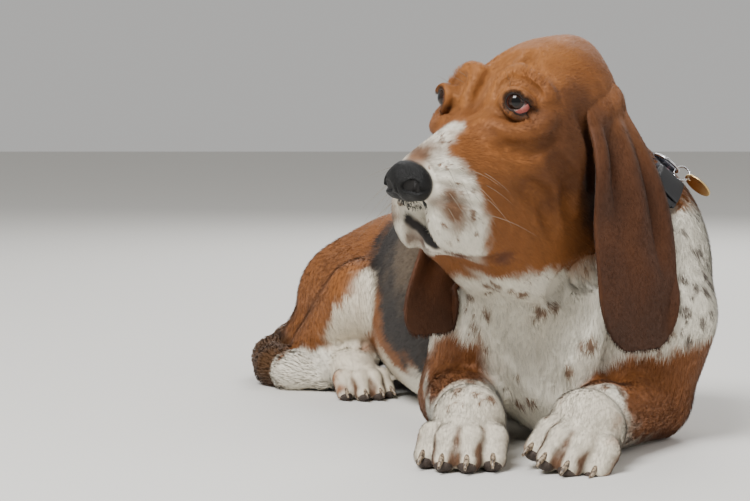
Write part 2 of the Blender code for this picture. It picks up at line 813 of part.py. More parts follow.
def collar_loop(lumps):
    """The collar's inner edges, low and high, with the way out at each step, from the front to the left."""
    angles = np.linspace(0.0, 2 * np.pi, COLLAR_STEPS, endpoint=False)
    turn = np.array(COLLAR.turn)
    ways = np.stack((np.cos(angles), np.sin(angles), np.zeros(COLLAR_STEPS)), axis=1) @ turn.T
    most = np.array([collar_reach(angle) for angle in angles])
    edges = []
    for rise in (-COLLAR_WIDTH / 2, COLLAR_WIDTH / 2):
        start = np.array(COLLAR.point(0, 0, rise))
        reach = np.full(COLLAR_STEPS, 0.040)
        for _ in range(24):
            depth = flesh_depth(start + ways * reach[:, None], lumps)
            reach = np.minimum(reach - (depth + COLLAR_SUNK) * 0.7, most + 0.004)
        for _ in range(3):
            reach = (np.roll(reach, 1) + 2 * reach + np.roll(reach, -1)) / 4
        edges.append(start + ways * reach[:, None])
    return edges[0], edges[1], ways


def sweep(name, rings, closed):
    """A solid through these rings of points, which all have as many points."""
    bm = bmesh.new()
    corners = [[bm.verts.new(point) for point in ring] for ring in rings]
    count = len(corners[0])
    pairs = list(zip(corners, corners[1:]))
    if closed:
        pairs.append((corners[-1], corners[0]))
    else:
        bm.faces.new(corners[0])
        bm.faces.new(corners[-1][::-1])
    for ring, following in pairs:
        for i in range(count):
            j = (i + 1) % count
            bm.faces.new((ring[i], ring[j], following[j], following[i]))
    bmesh.ops.triangulate(bm, faces=bm.faces)
    bmesh.ops.recalc_face_normals(bm, faces=bm.faces)
    return object_from(name, bm)


def build_band(loop):
    """A flat webbing band that goes once round the neck."""
    low, high, ways = loop
    outward = ways * COLLAR_THICKNESS
    return sweep("collar_band", np.stack((low, high, high + outward, low + outward), axis=1), True)


def build_buckle(loop):
    """The buckle: a curved block over the band, with bevelled edges."""
    low, high, ways = (side[BUCKLE_STEPS[0]:BUCKLE_STEPS[1]] for side in loop)
    over = (high - low) * 0.10
    inner, outer = COLLAR_THICKNESS + GAP, COLLAR_THICKNESS + 0.0085
    ring = (
        low - over + ways * inner, low - over + ways * (outer - 0.003), low + over * 0.5 + ways * outer,
        high - over * 0.5 + ways * outer, high + over + ways * (outer - 0.003), high + over + ways * inner,
    )
    return sweep("collar_buckle", np.stack(ring, axis=1), False)


def ring_points(place, radius_along, radius_aside, count, flat=False):
    """Points round a ring in a place's xy plane. With flat, its side towards -x is straight, like a D."""
    found = []
    for step in range(count):
        angle = 2 * math.pi * step / count
        x, y = radius_along * math.cos(angle), radius_aside * math.sin(angle)
        found.append(place.point(max(x, 0.0) if flat else x, y, 0.0))
    return found


def tube(name, points, normal, radius, segments=6):
    """A closed wire of round section along points that lie in one plane."""
    rings = []
    count = len(points)
    for i, point in enumerate(points):
        ahead = (points[(i + 1) % count] - points[i - 1]).normalized()
        aside = ahead.cross(normal)
        angles = [2 * math.pi * k / segments for k in range(segments)]
        rings.append([point + (aside * math.cos(a) + normal * math.sin(a)) * radius for a in angles])
    return sweep(name, rings, True)


def square_to(way, axis):
    """The part of a way that is square to an axis, of length 1."""
    return (way - axis * way.dot(axis)).normalized()


def build_ring_and_tag(loop):
    """The D-ring on the band, the small ring that hangs in it, and the plain oval tag on that."""
    low, high, ways = (side[RING_STEP] for side in loop)
    along_band = Vector(high - low).normalized()
    outward = Vector(ways)
    wire, small_wire, small_radius, hole_radius = 0.0017, 0.0008, 0.0080, 0.0022
    start = Vector(low + high) / 2 + outward * (COLLAR_THICKNESS + GAP + wire)
    lean = square_to(outward + Vector((0.0, -0.6, -0.8)), along_band)
    d_place = Place(start, Matrix((lean, along_band, lean.cross(along_band))).transposed())
    d_ring = tube("collar_ring", ring_points(d_place, 0.015, 0.0145, 14, True), d_place.turn.col[2], wire)
    hang = TAG_HANGS
    axis = square_to(TAG_ACROSS, hang)
    corner = d_place.point(0.015 * math.cos(TAG_CORNER), 0.0145 * math.sin(TAG_CORNER), 0)
    centre = corner + hang * (small_radius - small_wire - wire - GAP)
    small_place = Place(centre, Matrix((hang, axis.cross(hang), axis)).transposed())
    small_ring = tube("tag_ring", ring_points(small_place, small_radius, small_radius, 14), axis, small_wire)
    bore = centre + hang * (small_radius + hole_radius - small_wire - GAP)
    tag_turn = Matrix((hang, axis, hang.cross(axis))).transposed()
    return d_ring, small_ring, build_tag(Place(bore, tag_turn), hole_radius)


def build_tag(place, hole_radius):
    """An oval disc with a bored hole, which is at the origin of the place."""
    long, wide, thick = 0.0155, 0.0125, 0.0018
    bm = bmesh.new()
    matrix = place.matrix(long - 0.0042, 0, 0) @ Matrix.Diagonal((long, wide, thick, 1.0))
    bmesh.ops.create_cone(
        bm, cap_ends=True, segments=24, radius1=1, radius2=1, depth=1.0, matrix=matrix
    )
    tag = object_from("tag", bm)
    bm = bmesh.new()
    bmesh.ops.create_cone(
        bm, cap_ends=True, segments=8, radius1=hole_radius, radius2=hole_radius, depth=0.01,
        matrix=place.matrix(),
    )
    bore = object_from("cutter", bm)
    combine(tag, bore, "DIFFERENCE")
    bpy.data.objects.remove(bore)
    return tag


def centre_on_floor(objects):
    """Moves everything so that the floor under the middle of its box is the origin."""
    points = np.concatenate([points_of(obj.data) for obj in objects])
    low, high = points.min(axis=0), points.max(axis=0)
    shift = Matrix.Translation((-(low[0] + high[0]) / 2, -(low[1] + high[1]) / 2, 0.0))
    for obj in objects:
        obj.data.transform(shift)


def clear_scene():
    """Removes the objects that Blender starts with."""
    for obj in list(bpy.data.objects):
        bpy.data.objects.remove(obj)


HEAD_REGION = Box(NECK, (-0.30, -0.30, 0.056), (0.40, 0.30, 0.60))
SKULL_REGION = Box(NECK, (-0.25, -0.25, 0.056), (0.21, 0.25, 0.60))
NECK_REGION = Box(NECK, (-0.110, -0.110, -0.055), (0.120, 0.110, 0.0557))
NOSE_REGION = Ball(SKULL, (NOSE_FORWARD + 0.008, 0, NOSE_UP - 0.001), (0.0215, 0.030, 0.0225), fineness=3)


def dress(objects):
    """Gives every part its material and smooth shading."""
    coat = finish("coat", (0.300, 0.130, 0.050), 0.85)
    by_start = {
        "ear": finish("coat_dark", (0.120, 0.045, 0.015), 0.85),
        "forepaw": finish("coat_white", (0.620, 0.560, 0.460), 0.85),
        "hindpaw": finish("coat_white_hind", (0.620, 0.560, 0.460), 0.85),
        "nose": finish("nose_leather", (0.018, 0.016, 0.015), 0.35),
        "eye": finish("eye", (0.060, 0.030, 0.018), 0.08),
        "claw": finish("claw", (0.300, 0.240, 0.180), 0.40),
        "collar_band": finish("webbing", (0.012, 0.018, 0.045), 0.80),
        "collar_buckle": finish("buckle_plastic", (0.015, 0.015, 0.017), 0.40),
        "collar_ring": finish("bright_steel", (0.620, 0.620, 0.640), 0.18, 1.0),
        "tag_ring": finish("ring_steel", (0.560, 0.560, 0.580), 0.22, 1.0),
        "tag": finish("tag_brass", (0.600, 0.450, 0.260), 0.35, 1.0),
    }
    for obj in objects:
        fits = [start for start in by_start if obj.name.startswith(start)]
        paint([obj], by_start[max(fits, key=len)] if fits else coat)
        for face in obj.data.polygons:
            face.use_smooth = not obj.name.startswith(("collar_band", "tag"))


def main():
    """Builds the hound, part by part."""
    clear_scene()
    flesh = whole_flesh()
    head_flesh = skull_lumps() + lip_lumps() + nose_lumps() + neck_lumps() + eyelid_lumps()
    face = eyelid_lumps() + mouth_lumps() + nose_lumps()
    head = grow("head", head_flesh, flesh, face, 0.5, HEAD_VOXEL, HEAD_TRIANGLES)
    toes = [lump for leg in (LEFT_FORE, RIGHT_FORE, *HIND_LEGS) for lump in leg.paw.lumps()]
    body = grow("torso", skull_lumps() + body_lumps(), flesh, toes, 0.75, BODY_VOXEL, BODY_TRIANGLES)
    tail = grow("tail", tail_lumps(), tail_lumps(), tail_lumps(), 1.0, TAIL_VOXEL, TAIL_TRIANGLES)
    for made in (body, tail):
        flatten_on_floor(made)
    loop = collar_loop(flesh)
    collar, buckle = build_band(loop), build_buckle(loop)
    d_ring, small_ring, tag = build_ring_and_tag(loop)
    nose = take("nose", head, NOSE_REGION)
    open_nostrils(nose)
    cut_with(head, HEAD_REGION, "INTERSECT", 0.0)
    cut_with(body, SKULL_REGION, "DIFFERENCE", GAP)
    neck = take("neck", body, NECK_REGION)
    limbs = []
    for leg in (LEFT_FORE, RIGHT_FORE, *HIND_LEGS):
        limbs.append(take(leg.paw.name, body, leg.paw.region()))
        limbs.append(take(leg.node, body, leg.region()))
    cut_clear(tail, [body, *limbs])
    eyes = [build_eye(name, side) for name, side in (("left", 1), ("right", -1))]
    for side in (1, -1):
        open_lids(head, side)
    ears = [ear.build(flesh) for ear in (LEFT_EAR, RIGHT_EAR)]
    for obj in (head, neck, body):
        cut_clear(obj, [collar, buckle])
    for ear in ears:
        cut_clear(ear, [head, neck, body, collar, buckle])
    claws = []
    for leg in (LEFT_FORE, RIGHT_FORE, *HIND_LEGS):
        paw = bpy.data.objects[leg.paw.name]
        for claw in build_claws(leg.paw):
            cut_clear(claw, [paw])
            claws.append(claw)
    fittings = [collar, buckle, d_ring, small_ring, tag]
    everything = [head, nose, neck, body, tail, *fittings, *limbs, *eyes, *ears, *claws]
    dress(everything)
    centre_on_floor(everything)


if __name__ == "__main__":
    main()
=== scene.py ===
"""Looks of a life-size basset hound that lies on its belly with its head turned.

The flesh is worked out again from the same balls and bars as the solids, with finer lids, folds and lips. They are
in metres in the hound's own frame, and every finished mesh is moved from there into the frame of the solids.
"""

import logging
import math
from collections.abc import Callable, Iterable, Sequence
from dataclasses import dataclass, field, replace
from enum import Enum

import bmesh
import bpy
import numpy as np
from mathutils import Matrix, Vector
from mathutils.bvhtree import BVHTree


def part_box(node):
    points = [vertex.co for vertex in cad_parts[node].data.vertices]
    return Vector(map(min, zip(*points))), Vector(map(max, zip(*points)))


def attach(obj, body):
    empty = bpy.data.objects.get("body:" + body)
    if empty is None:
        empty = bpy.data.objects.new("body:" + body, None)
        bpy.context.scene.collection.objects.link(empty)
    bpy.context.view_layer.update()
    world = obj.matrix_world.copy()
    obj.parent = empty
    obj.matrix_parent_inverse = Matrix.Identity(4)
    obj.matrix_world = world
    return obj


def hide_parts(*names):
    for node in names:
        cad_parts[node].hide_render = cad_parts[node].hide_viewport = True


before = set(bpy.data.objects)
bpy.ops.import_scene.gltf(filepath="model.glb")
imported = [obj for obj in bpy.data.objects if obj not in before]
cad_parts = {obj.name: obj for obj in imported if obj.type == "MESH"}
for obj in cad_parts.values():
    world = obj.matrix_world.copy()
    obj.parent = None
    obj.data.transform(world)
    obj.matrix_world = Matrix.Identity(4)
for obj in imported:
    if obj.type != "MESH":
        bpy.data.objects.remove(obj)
LOG = logging.getLogger("basset")

Triple = tuple[float, float, float]
Colour = tuple[float, float, float, float]

SOFT, FIRM, CRISP = 0.020, 0.010, 0.004
NEAR = 0.03
STILL = ((0.0, 0.0, 0.0),)


def srgb(red: int, green: int, blue: int) -> Colour:
    """The linear colour of three display values from 0 to 255."""
    def linear(value: int) -> float:
        """One channel, from its display value to linear light."""
        share = value / 255
        return share / 12.92 if share <= 0.04045 else ((share + 0.055) / 1.055) ** 2.4

    return (linear(red), linear(green), linear(blue), 1.0)


def eased(share: np.ndarray) -> np.ndarray:
    """A share that eases in and out between 0 and 1."""
    held = np.clip(share, 0.0, 1.0)
    return held * held * (3.0 - 2.0 * held)


class Socket:
    """An output of a shader node, on which Python's operators make Math nodes."""

    def __init__(self, shader: "Shader", link: bpy.types.NodeSocket) -> None:
        """Keeps the node tree and the socket.

        Args:
            shader: The material that the socket is in.
            link: The output socket.
        """
        self.shader = shader
        self.link = link

    def _math(self, operation: str, first: "Socket | float", second: "Socket | float") -> "Socket":
        """A Math node on two values."""
        made = self.shader.node("ShaderNodeMath", {"operation": operation}, {0: first, 1: second})
        return Socket(self.shader, made.outputs[0])

    def __add__(self, other: "Socket | float") -> "Socket":
        """Self plus other."""
        return self._math("ADD", self, other)

    __radd__ = __add__

    def __sub__(self, other: "Socket | float") -> "Socket":
        """Self minus other."""
        return self._math("SUBTRACT", self, other)

    def __rsub__(self, other: "Socket | float") -> "Socket":
        """Other minus self."""
        return self._math("SUBTRACT", other, self)

    def __mul__(self, other: "Socket | float") -> "Socket":
        """Self times other."""
        return self._math("MULTIPLY", self, other)

    __rmul__ = __mul__

    def __truediv__(self, other: "Socket | float") -> "Socket":
        """Self over other."""
        return self._math("DIVIDE", self, other)

    def __gt__(self, other: "Socket | float") -> "Socket":
        """1 where self is more than other, and otherwise 0."""
        return self._math("GREATER_THAN", self, other)

    def power(self, exponent: float) -> "Socket":
        """Self to a power."""
        return self._math("POWER", self, exponent)

    def sine(self) -> "Socket":
        """The sine of self."""
        return self._math("SINE", self, 0.0)

    def between(self, low: float, high: float) -> "Socket":
        """How far self has come from low to high, eased and kept from 0 to 1."""
        made = self.shader.node(
            "ShaderNodeMapRange", {"interpolation_type": "SMOOTHSTEP"},
            {"Value": self, "From Min": low, "From Max": high},
        )
        return Socket(self.shader, made.outputs[0])


class Shader:
    """A material and its node tree."""

    def __init__(self, name: str, roughness: float, **constants: float | Colour) -> None:
        """Starts a material with one shader.

        Args:
            name: The material's name.
            roughness: The roughness all over.
            constants: Other sockets of the shader, by name with _ for a space.
        """
        self.material = bpy.data.materials.new(name)
        self.material.use_nodes = True
        self.tree = self.material.node_tree
        self.surface = self.tree.nodes["Principled BSDF"]
        self.set("Roughness", roughness)
        for word, value in constants.items():
            self.set(word.replace("_", " "), value)

    def set(self, socket: str, value: "Socket | float | Colour") -> None:
        """Feeds one socket of the shader."""
        self._feed(self.surface.inputs[socket], value)

    def _feed(self, socket: bpy.types.NodeSocket, value: "Socket | float | Sequence[float]") -> None:
        """Links a socket, or sets its number."""
        if isinstance(value, Socket):
            self.tree.links.new(value.link, socket)
        else:
            socket.default_value = value

    def node(self, kind: str, settings: dict | None = None, inputs: dict | None = None) -> bpy.types.Node:
        """A node of any kind.

        Args:
            kind: The node's type.
            settings: Its own properties, and for a ramp its stops, which are set first.
            inputs: Values or links of its sockets, by name or number.

        Returns:
            The node.
        """
        made = self.tree.nodes.new(kind)
        for name, value in (settings or {}).items():
            if name == "stops":
                self._set_stops(made.color_ramp, value)
            else:
                setattr(made, name, value)
        for key, value in (inputs or {}).items():
            self._feed(made.inputs[key], value)
        return made

    @staticmethod
    def _set_stops(ramp: bpy.types.ColorRamp, stops: Sequence[tuple[float, Colour]]) -> None:
        """Gives a ramp its stops."""
        while len(ramp.elements) < len(stops):
            ramp.elements.new(1.0)
        for element, (place, colour) in zip(ramp.elements, stops):
            element.position = place
            element.color = colour

    def place(self) -> Socket:
        """Where a point is, in metres."""
        return Socket(self, self.node("ShaderNodeTexCoord").outputs["Object"])

    def attribute(self, name: str, output: str = "Color") -> Socket:
        """A colour or number that the mesh carries."""
        made = self.node("ShaderNodeAttribute", {"attribute_name": name})
        return Socket(self, made.outputs[output])

    def uv(self, name: str) -> tuple[Socket, Socket]:
        """The two numbers of a UV map of the mesh."""
        made = self.node("ShaderNodeUVMap", {"uv_map": name})
        parts = self.node("ShaderNodeSeparateXYZ", {}, {0: Socket(self, made.outputs[0])})
        return Socket(self, parts.outputs[0]), Socket(self, parts.outputs[1])

    def noise(self, scale: float, detail: float = 3.0, where: Socket | None = None) -> Socket:
        """A soft random value from 0 to 1."""
        made = self.node(
            "ShaderNodeTexNoise", {}, {"Vector": where or self.place(), "Scale": scale, "Detail": detail}
        )
        return Socket(self, made.outputs[0])

    def cells(self, scale: float, feature: str = "F1") -> Socket:
        """The distance to the nearest of many scattered points."""
        made = self.node("ShaderNodeTexVoronoi", {"feature": feature}, {"Vector": self.place(), "Scale": scale})
        return Socket(self, made.outputs[0])

    def mix(self, share: Socket | float, first: Socket | Colour, second: Socket | Colour) -> Socket:
        """First with a share of second."""
        made = self.node("ShaderNodeMix", {"data_type": "RGBA"}, {0: share, 6: first, 7: second})
        return Socket(self, made.outputs[2])

    def tint(self, colour: Socket | Colour, low: float, high: float, share: Socket) -> Socket:
        """A colour made darker or lighter: low times it where share is 0, and high times it at 1."""
        shade = self.mix(share, (low, low, low, 1.0), (high, high, high, 1.0))
        made = self.node("ShaderNodeMix", {"data_type": "RGBA", "blend_type": "MULTIPLY"}, {0: 1.0, 6: colour, 7: shade})
        return Socket(self, made.outputs[2])

    def bump(self, height: Socket, depth: float, strength: float = 1.0) -> None:
        """Feeds the normal with the relief of a height, which is depth metres deep."""
        made = self.node("ShaderNodeBump", {}, {"Strength": strength, "Distance": depth, "Height": height})
        self.set("Normal", Socket(self, made.outputs[0]))


@dataclass(frozen=True)
class CoatFinish:
    """Short hair, coloured by the markings that the mesh carries."""

    roughness: float = 0.62
    grain: float = 900.0
    depth: float = 0.0006

    def material(self, name: str) -> bpy.types.Material:
        """The material of the skin or of the tufts."""
        shader = Shader(name, self.roughness, Sheen_Weight=0.04, Sheen_Roughness=0.5, Specular_IOR_Level=0.30)
        fine = shader.noise(self.grain, 2.0)
        broad = shader.noise(38.0, 3.0)
        colour = shader.tint(shader.attribute("coat"), 0.88, 1.12, fine * 0.6 + broad * 0.4)
        shader.set("Base Color", colour)
        shader.bump(fine, self.depth, 0.6)
        return shader.material


@dataclass(frozen=True)
class LeatherFinish:
    """Bare damp skin: the nose, the pads and the rims of the lids."""

    dark: Colour
    light: Colour
    roughness: float
    pebble: float
    depth: float
    coat: float = 0.0

    def material(self, name: str) -> bpy.types.Material:
        """The material, with pebbles and worn, paler high places."""
        shader = Shader(name, self.roughness, Coat_Roughness=0.25, Specular_IOR_Level=0.24)
        pebbles = shader.cells(self.pebble)
        broad = shader.noise(90.0, 3.0)
        shader.set("Base Color", shader.mix(pebbles * 0.5 + broad * 0.5, self.dark, self.light))
        shader.set("Coat Weight", self.coat)
        shader.set("Roughness", broad * 0.18 + (self.roughness - 0.09))
        shader.bump(1.0 - pebbles, self.depth, 0.8)
        return shader.material


@dataclass(frozen=True)
class HornFinish:
    """Claws: streaked horn."""

    dark: Colour = srgb(58, 44, 34)
    light: Colour = srgb(176, 156, 130)

    def material(self, name: str) -> bpy.types.Material:
        """The material."""
        shader = Shader(name, 0.36, Coat_Weight=0.25, Coat_Roughness=0.2)
        streaks = shader.noise(420.0, 4.0)
        shader.set("Base Color", shader.mix(streaks.between(0.35, 0.7), self.dark, self.light))
        shader.bump(streaks, 0.0002, 0.5)
        return shader.material


@dataclass(frozen=True)
class EyeFinish:
    """A wet eye, coloured in rings round the way that it looks."""

    centre: Triple
    gaze: Triple
    # pale: the way of the pale part of the white, outside the painted shade
    pale: Triple
    pupil: float = 0.950
    iris: float = 0.815

    def material(self, name: str) -> bpy.types.Material:
        """The material. The rings follow the cosine of the angle to the gaze."""
        shader = Shader(name, 0.10, Coat_Weight=0.35, Coat_Roughness=0.02, Specular_IOR_Level=0.20)
        away = shader.node("ShaderNodeVectorMath", {"operation": "SUBTRACT"}, {0: shader.place(), 1: self.centre})
        outward = Socket(shader, away.outputs[0])
        unit_way = shader.node("ShaderNodeVectorMath", {"operation": "NORMALIZE"}, {0: outward})
        cosine = self._cosine(shader, unit_way, self.gaze)
        veins = shader.noise(520.0, 5.0).between(0.50, 0.66)
        white = shader.mix(veins * 0.45, srgb(196, 182, 176), srgb(150, 84, 76))
        # away from the pale way the white is dark brown: painted shade under the heavy upper lid, with some dark
        # pigment
        white = shader.mix(self._cosine(shader, unit_way, self.pale).between(0.72, 0.94), srgb(70, 38, 32), white)
        threads = shader.noise(700.0, 4.0)
        brown = shader.mix(threads, srgb(20, 10, 6), srgb(50, 28, 14))
        ringed = shader.mix(cosine.between(self.iris - 0.03, self.iris + 0.03), white, srgb(20, 12, 9))
        ringed = shader.mix(cosine.between(self.iris + 0.02, self.iris + 0.09), ringed, brown)
        ringed = shader.mix(cosine.between(self.pupil - 0.008, self.pupil + 0.008), ringed, srgb(6, 5, 5))
        shader.set("Base Color", ringed)
        return shader.material

    @staticmethod
    def _cosine(shader: Shader, way: bpy.types.Node, other: Triple) -> Socket:
        """The cosine of the angle between the way out from the centre and another way."""
        dot = shader.node("ShaderNodeVectorMath", {"operation": "DOT_PRODUCT"}, {0: Socket(shader, way.outputs[0]), 1: other})
        return Socket(shader, dot.outputs["Value"])


class Weave(Enum):
    """What a woven strip shows on its face."""

    PLAIN = "plain"
    FLECKED = "flecked"


@dataclass(frozen=True)
class WebbingFinish:
    """Flat woven webbing, with its weave in the strip's own UV map."""

    ground: Colour
    fleck: Colour
    second_fleck: Colour
    weave: Weave
    length: float
    width: float

    def material(self, name: str) -> bpy.types.Material:
        """The material: ribs across, threads along, with painted shade in their hollows, and flecks in two rows."""
        shader = Shader(name, 0.78, Sheen_Weight=0.25, Sheen_Roughness=0.4)
        along, across = shader.uv("webbing")
        ribs = (along * (self.length / 0.0009 * math.pi)).sine().power(2.0)
        threads = (across * (self.width / 0.0011 * math.pi)).sine().power(2.0)
        colour: Socket | Colour = self.ground
        if self.weave is Weave.FLECKED:
            colour = self._flecks(shader, along, across)
        worn = shader.noise(160.0, 4.0)
        # painted shade: the weave is darker in the hollows between ribs and threads
        shader.set("Base Color", shader.tint(shader.tint(colour, 0.55, 1.15, ribs * 0.5 + threads * 0.5), 0.8, 1.2, worn))
        shader.bump(ribs * 0.6 + threads * 0.4, 0.0003, 0.9)
        return shader.material

    def _flecks(self, shader: Shader, along: Socket, across: Socket) -> Socket:
        """Small light lozenges in two staggered rows, in two colours."""
        steps = round(self.length / 0.011)
        first = (along * (steps * math.pi)).sine().power(2.0)
        second = (along * (steps * math.pi) + math.pi / 2).sine().power(2.0)
        upper = (across - 0.68) * (across - 0.68)
        lower = (across - 0.32) * (across - 0.32)
        row = (first - upper * 60.0).between(0.72, 0.80)
        other = (second - lower * 60.0).between(0.72, 0.80)
        colour = shader.mix(row * 0.9, self.ground, self.fleck)
        return shader.mix(other * 0.9, colour, self.second_fleck)


@dataclass(frozen=True)
class MetalFinish:
    """Wire or sheet metal with fine scratches."""

    colour: Colour
    roughness: float
    scratch: float

    def material(self, name: str) -> bpy.types.Material:
        """The material."""
        shader = Shader(name, self.roughness, Metallic=1.0)
        fine, broad = shader.noise(1400.0, 2.0), shader.noise(120.0, 4.0)
        shader.set("Base Color", shader.tint(self.colour, 0.72, 1.08, broad))
        shader.set("Roughness", broad * 0.25 + (self.roughness - 0.08))
        shader.bump(fine, self.scratch, 0.5)
        return shader.material


@dataclass(frozen=True)
class MouldedFinish:
    """Moulded plastic with a fine spark-worn face."""

    colour: Colour
    roughness: float = 0.42

    def material(self, name: str) -> bpy.types.Material:
        """The material."""
        shader = Shader(name, self.roughness)
        fine, broad = shader.noise(2200.0, 2.0), shader.noise(70.0, 4.0)
        shader.set("Base Color", shader.tint(self.colour, 0.7, 1.6, broad))
        shader.set("Roughness", broad * 0.2 + (self.roughness - 0.1))
        shader.bump(fine, 0.0001, 0.5)
        return shader.material


@dataclass(frozen=True)
class WhiskerFinish:
    """Stiff whiskers."""

    colour: Colour = srgb(150, 138, 120)

    def material(self, name: str) -> bpy.types.Material:
        """The material."""
        shader = Shader(name, 0.4)
        shader.set("Base Color", shader.tint(self.colour, 0.35, 1.15, shader.noise(60.0, 2.0)))
        return shader.material


@dataclass(frozen=True)
class FloorFinish:
    """The plain pale floor."""

    colour: Colour = srgb(214, 212, 207)

    def material(self, name: str) -> bpy.types.Material:
        """The material."""
        shader = Shader(name, 0.85)
        shader.set("Base Color", self.colour)
        return shader.material


def turned(yaw: float = 0.0, pitch: float = 0.0, roll: float = 0.0) -> Matrix:
    """The turn whose x axis points along yaw, then down by pitch, with a roll about it, all in degrees."""
    about = (Matrix.Rotation(math.radians(a), 3, axis) for a, axis in ((yaw, "Z"), (pitch, "Y"), (roll, "X")))
    return next(about) @ next(about) @ next(about)


def frame_of(up: Vector, front: Vector) -> Matrix:
    """The turn whose z axis is up and whose x axis leans to front."""
    z = Vector(up).normalized()
    y = z.cross(front).normalized()
    return Matrix((y.cross(z), y, z)).transposed()


@dataclass(frozen=True)
class Place:
    """A frame to put things in: an origin, and x forward, y to the hound's left and z up."""

    origin: Vector
    turn: Matrix

    def point(self, x: float, y: float, z: float) -> Vector:
        """The hound's point at x, y, z of this frame."""
        return self.origin + self.turn @ Vector((x, y, z))

    def matrix(self) -> Matrix:
        """The frame as a matrix."""
        return Matrix.Translation(self.origin) @ self.turn.to_4x4()

    def inside(self, points: np.ndarray) -> np.ndarray:
        """Points of the hound, in this frame."""
        return (points - np.array(self.origin)) @ np.array(self.turn)


@dataclass(frozen=True)
class Lump:
    """A lump of flesh: how it blends, whether it carves, and the lie and length of the coat on it."""

    blend: float
    carves: bool
    lie: Vector
    hair: float
    zone: "Zone"

    def depth(self, points: np.ndarray) -> np.ndarray:
        """How far outside the lump each point is, and below zero inside it."""
        raise NotImplementedError

    def bound(self) -> tuple[Vector, float]:
        """The middle and the reach of the lump."""
        raise NotImplementedError

    def near(self, points: np.ndarray) -> np.ndarray:
        """Which points are near enough for the lump to matter."""
        middle, reach = self.bound()
        away = points - np.array(middle)
        return np.flatnonzero(np.einsum("ij,ij->i", away, away) < (reach + self.blend + NEAR) ** 2)

    def meets(self, low: Sequence[float], high: Sequence[float]) -> bool:
        """Whether the lump matters anywhere in a box."""
        middle, reach = self.bound()
        reach += self.blend + NEAR
        return all(m + reach > a and m - reach < b for m, a, b in zip(middle, low, high))


@dataclass(frozen=True)
class Ball(Lump):
    """A ball stretched along the axes of its place."""

    place: Place
    radii: Triple

    def depth(self, points: np.ndarray) -> np.ndarray:
        """How far outside the ball each point is."""
        local = self.place.inside(points) / np.array(self.radii)
        reach = np.linalg.norm(local, axis=1)
        slope = np.linalg.norm(local / np.array(self.radii), axis=1)
        return reach * (reach - 1.0) / np.maximum(slope, 1e-6)

    def bound(self) -> tuple[Vector, float]:
        """The middle and the reach of the ball."""
        return self.place.origin, max(self.radii)


@dataclass(frozen=True)
class Bar(Lump):
    """A bar with round ends whose radius goes evenly from the one to the other."""

    start: Vector
    end: Vector
    radii: tuple[float, float]

    def depth(self, points: np.ndarray) -> np.ndarray:
        """How far outside the bar each point is."""
        start = np.array(self.start)
        axis = np.array(self.end) - start
        along = np.clip((points - start) @ axis / (axis @ axis), 0.0, 1.0)
        radius = self.radii[0] + along * (self.radii[1] - self.radii[0])
        return np.linalg.norm(points - start - along[:, None] * axis, axis=1) - radius

    def bound(self) -> tuple[Vector, float]:
        """The middle and the reach of the bar."""
        return (self.start + self.end) / 2, (self.end - self.start).length / 2 + max(self.radii)


class Zone(Enum):
    """The parts of the coat of the skin that are meshes of their own."""

    HEAD = "head"
    NECK = "neck"
    TORSO = "torso"
    FORELEGS = "forelegs"
    HINDLEGS = "hindlegs"
    TAIL = "tail"


@dataclass
class Region:
    """Lumps that share a place, the lie of the coat, as a way in that place, and its length."""

    place: Place
    zone: Zone
    lie: Triple
    hair: float
    lumps: list[Lump] = field(default_factory=list)

    def ball(self, centre: Triple, radii: Triple, blend: float = SOFT, carves: bool = False) -> "Region":
        """Adds a ball."""
        lie = self.place.turn @ Vector(self.lie)
        where = Place(self.place.point(*centre), self.place.turn)
        self.lumps.append(Ball(blend, carves, lie, self.hair, self.zone, where, radii))
        return self

    def bar(
        self, start: Triple, end: Triple, first: float, last: float, blend: float = SOFT, carves: bool = False,
        along: bool = False,
    ) -> "Region":
        """Adds a bar. Where along is true its coat lies along it."""
        a, b = self.place.point(*start), self.place.point(*end)
        lie = (b - a).normalized() if along else self.place.turn @ Vector(self.lie)
        self.lumps.append(Bar(blend, carves, lie, self.hair, self.zone, a, b, (first, last)))
        return self

    def chain(
        self, points: Sequence[Triple], radii: Sequence[float], blend: float, carves: bool = False, along: bool = False
    ) -> "Region":
        """Adds bars from point to point."""
        for start, end, first, last in zip(points, points[1:], radii, radii[1:]):
            self.bar(start, end, first, last, blend, carves, along)
        return self


def soft_union(first: np.ndarray, second: np.ndarray, blend: float) -> np.ndarray:
    """The smaller of two depths, rounded where they meet."""
    share = np.maximum(blend - np.abs(first - second), 0.0) / blend
    return np.minimum(first, second) - share * share * blend / 4


def flesh_depths(points: np.ndarray, lumps: Iterable[Lump], steps: Sequence[Triple]) -> np.ndarray:
    """How far outside the blended flesh each point is, after each of some small steps.

    Args:
        points: The points, one a row.
        lumps: The lumps in the order that they blend. Those that carve take flesh away.
        steps: The steps, each from every point.

    Returns:
        The depths, a row for each step.
    """
    depths = np.full((len(steps), len(points)), 1.0)
    if not len(points):
        return depths
    low, high = points.min(axis=0), points.max(axis=0)
    for lump in lumps:
        if not lump.meets(low, high):
            continue
        near = lump.near(points)
        close = points[near]
        for depth, step in zip(depths, steps):
            own = lump.depth(close + np.array(step))
            if lump.carves:
                depth[near] = -soft_union(-depth[near], own, lump.blend)
            else:
                depth[near] = soft_union(depth[near], own, lump.blend)
    return depths


def flesh_depth(points: np.ndarray, lumps: Iterable[Lump]) -> np.ndarray:
    """How far outside the blended flesh each point is."""
    return flesh_depths(points, lumps, STILL)[0]


def depth_and_slope(points: np.ndarray, lumps: Sequence[Lump]) -> tuple[np.ndarray, np.ndarray]:
    """The depth of each point, and which way it grows fastest."""
    step = 0.0004
    corners = np.array(((1, 1, 1), (1, -1, -1), (-1, 1, -1), (-1, -1, 1)), float)
    samples = flesh_depths(points, lumps, corners * step)
    return samples.mean(axis=0), samples.T @ corners / (4 * step)


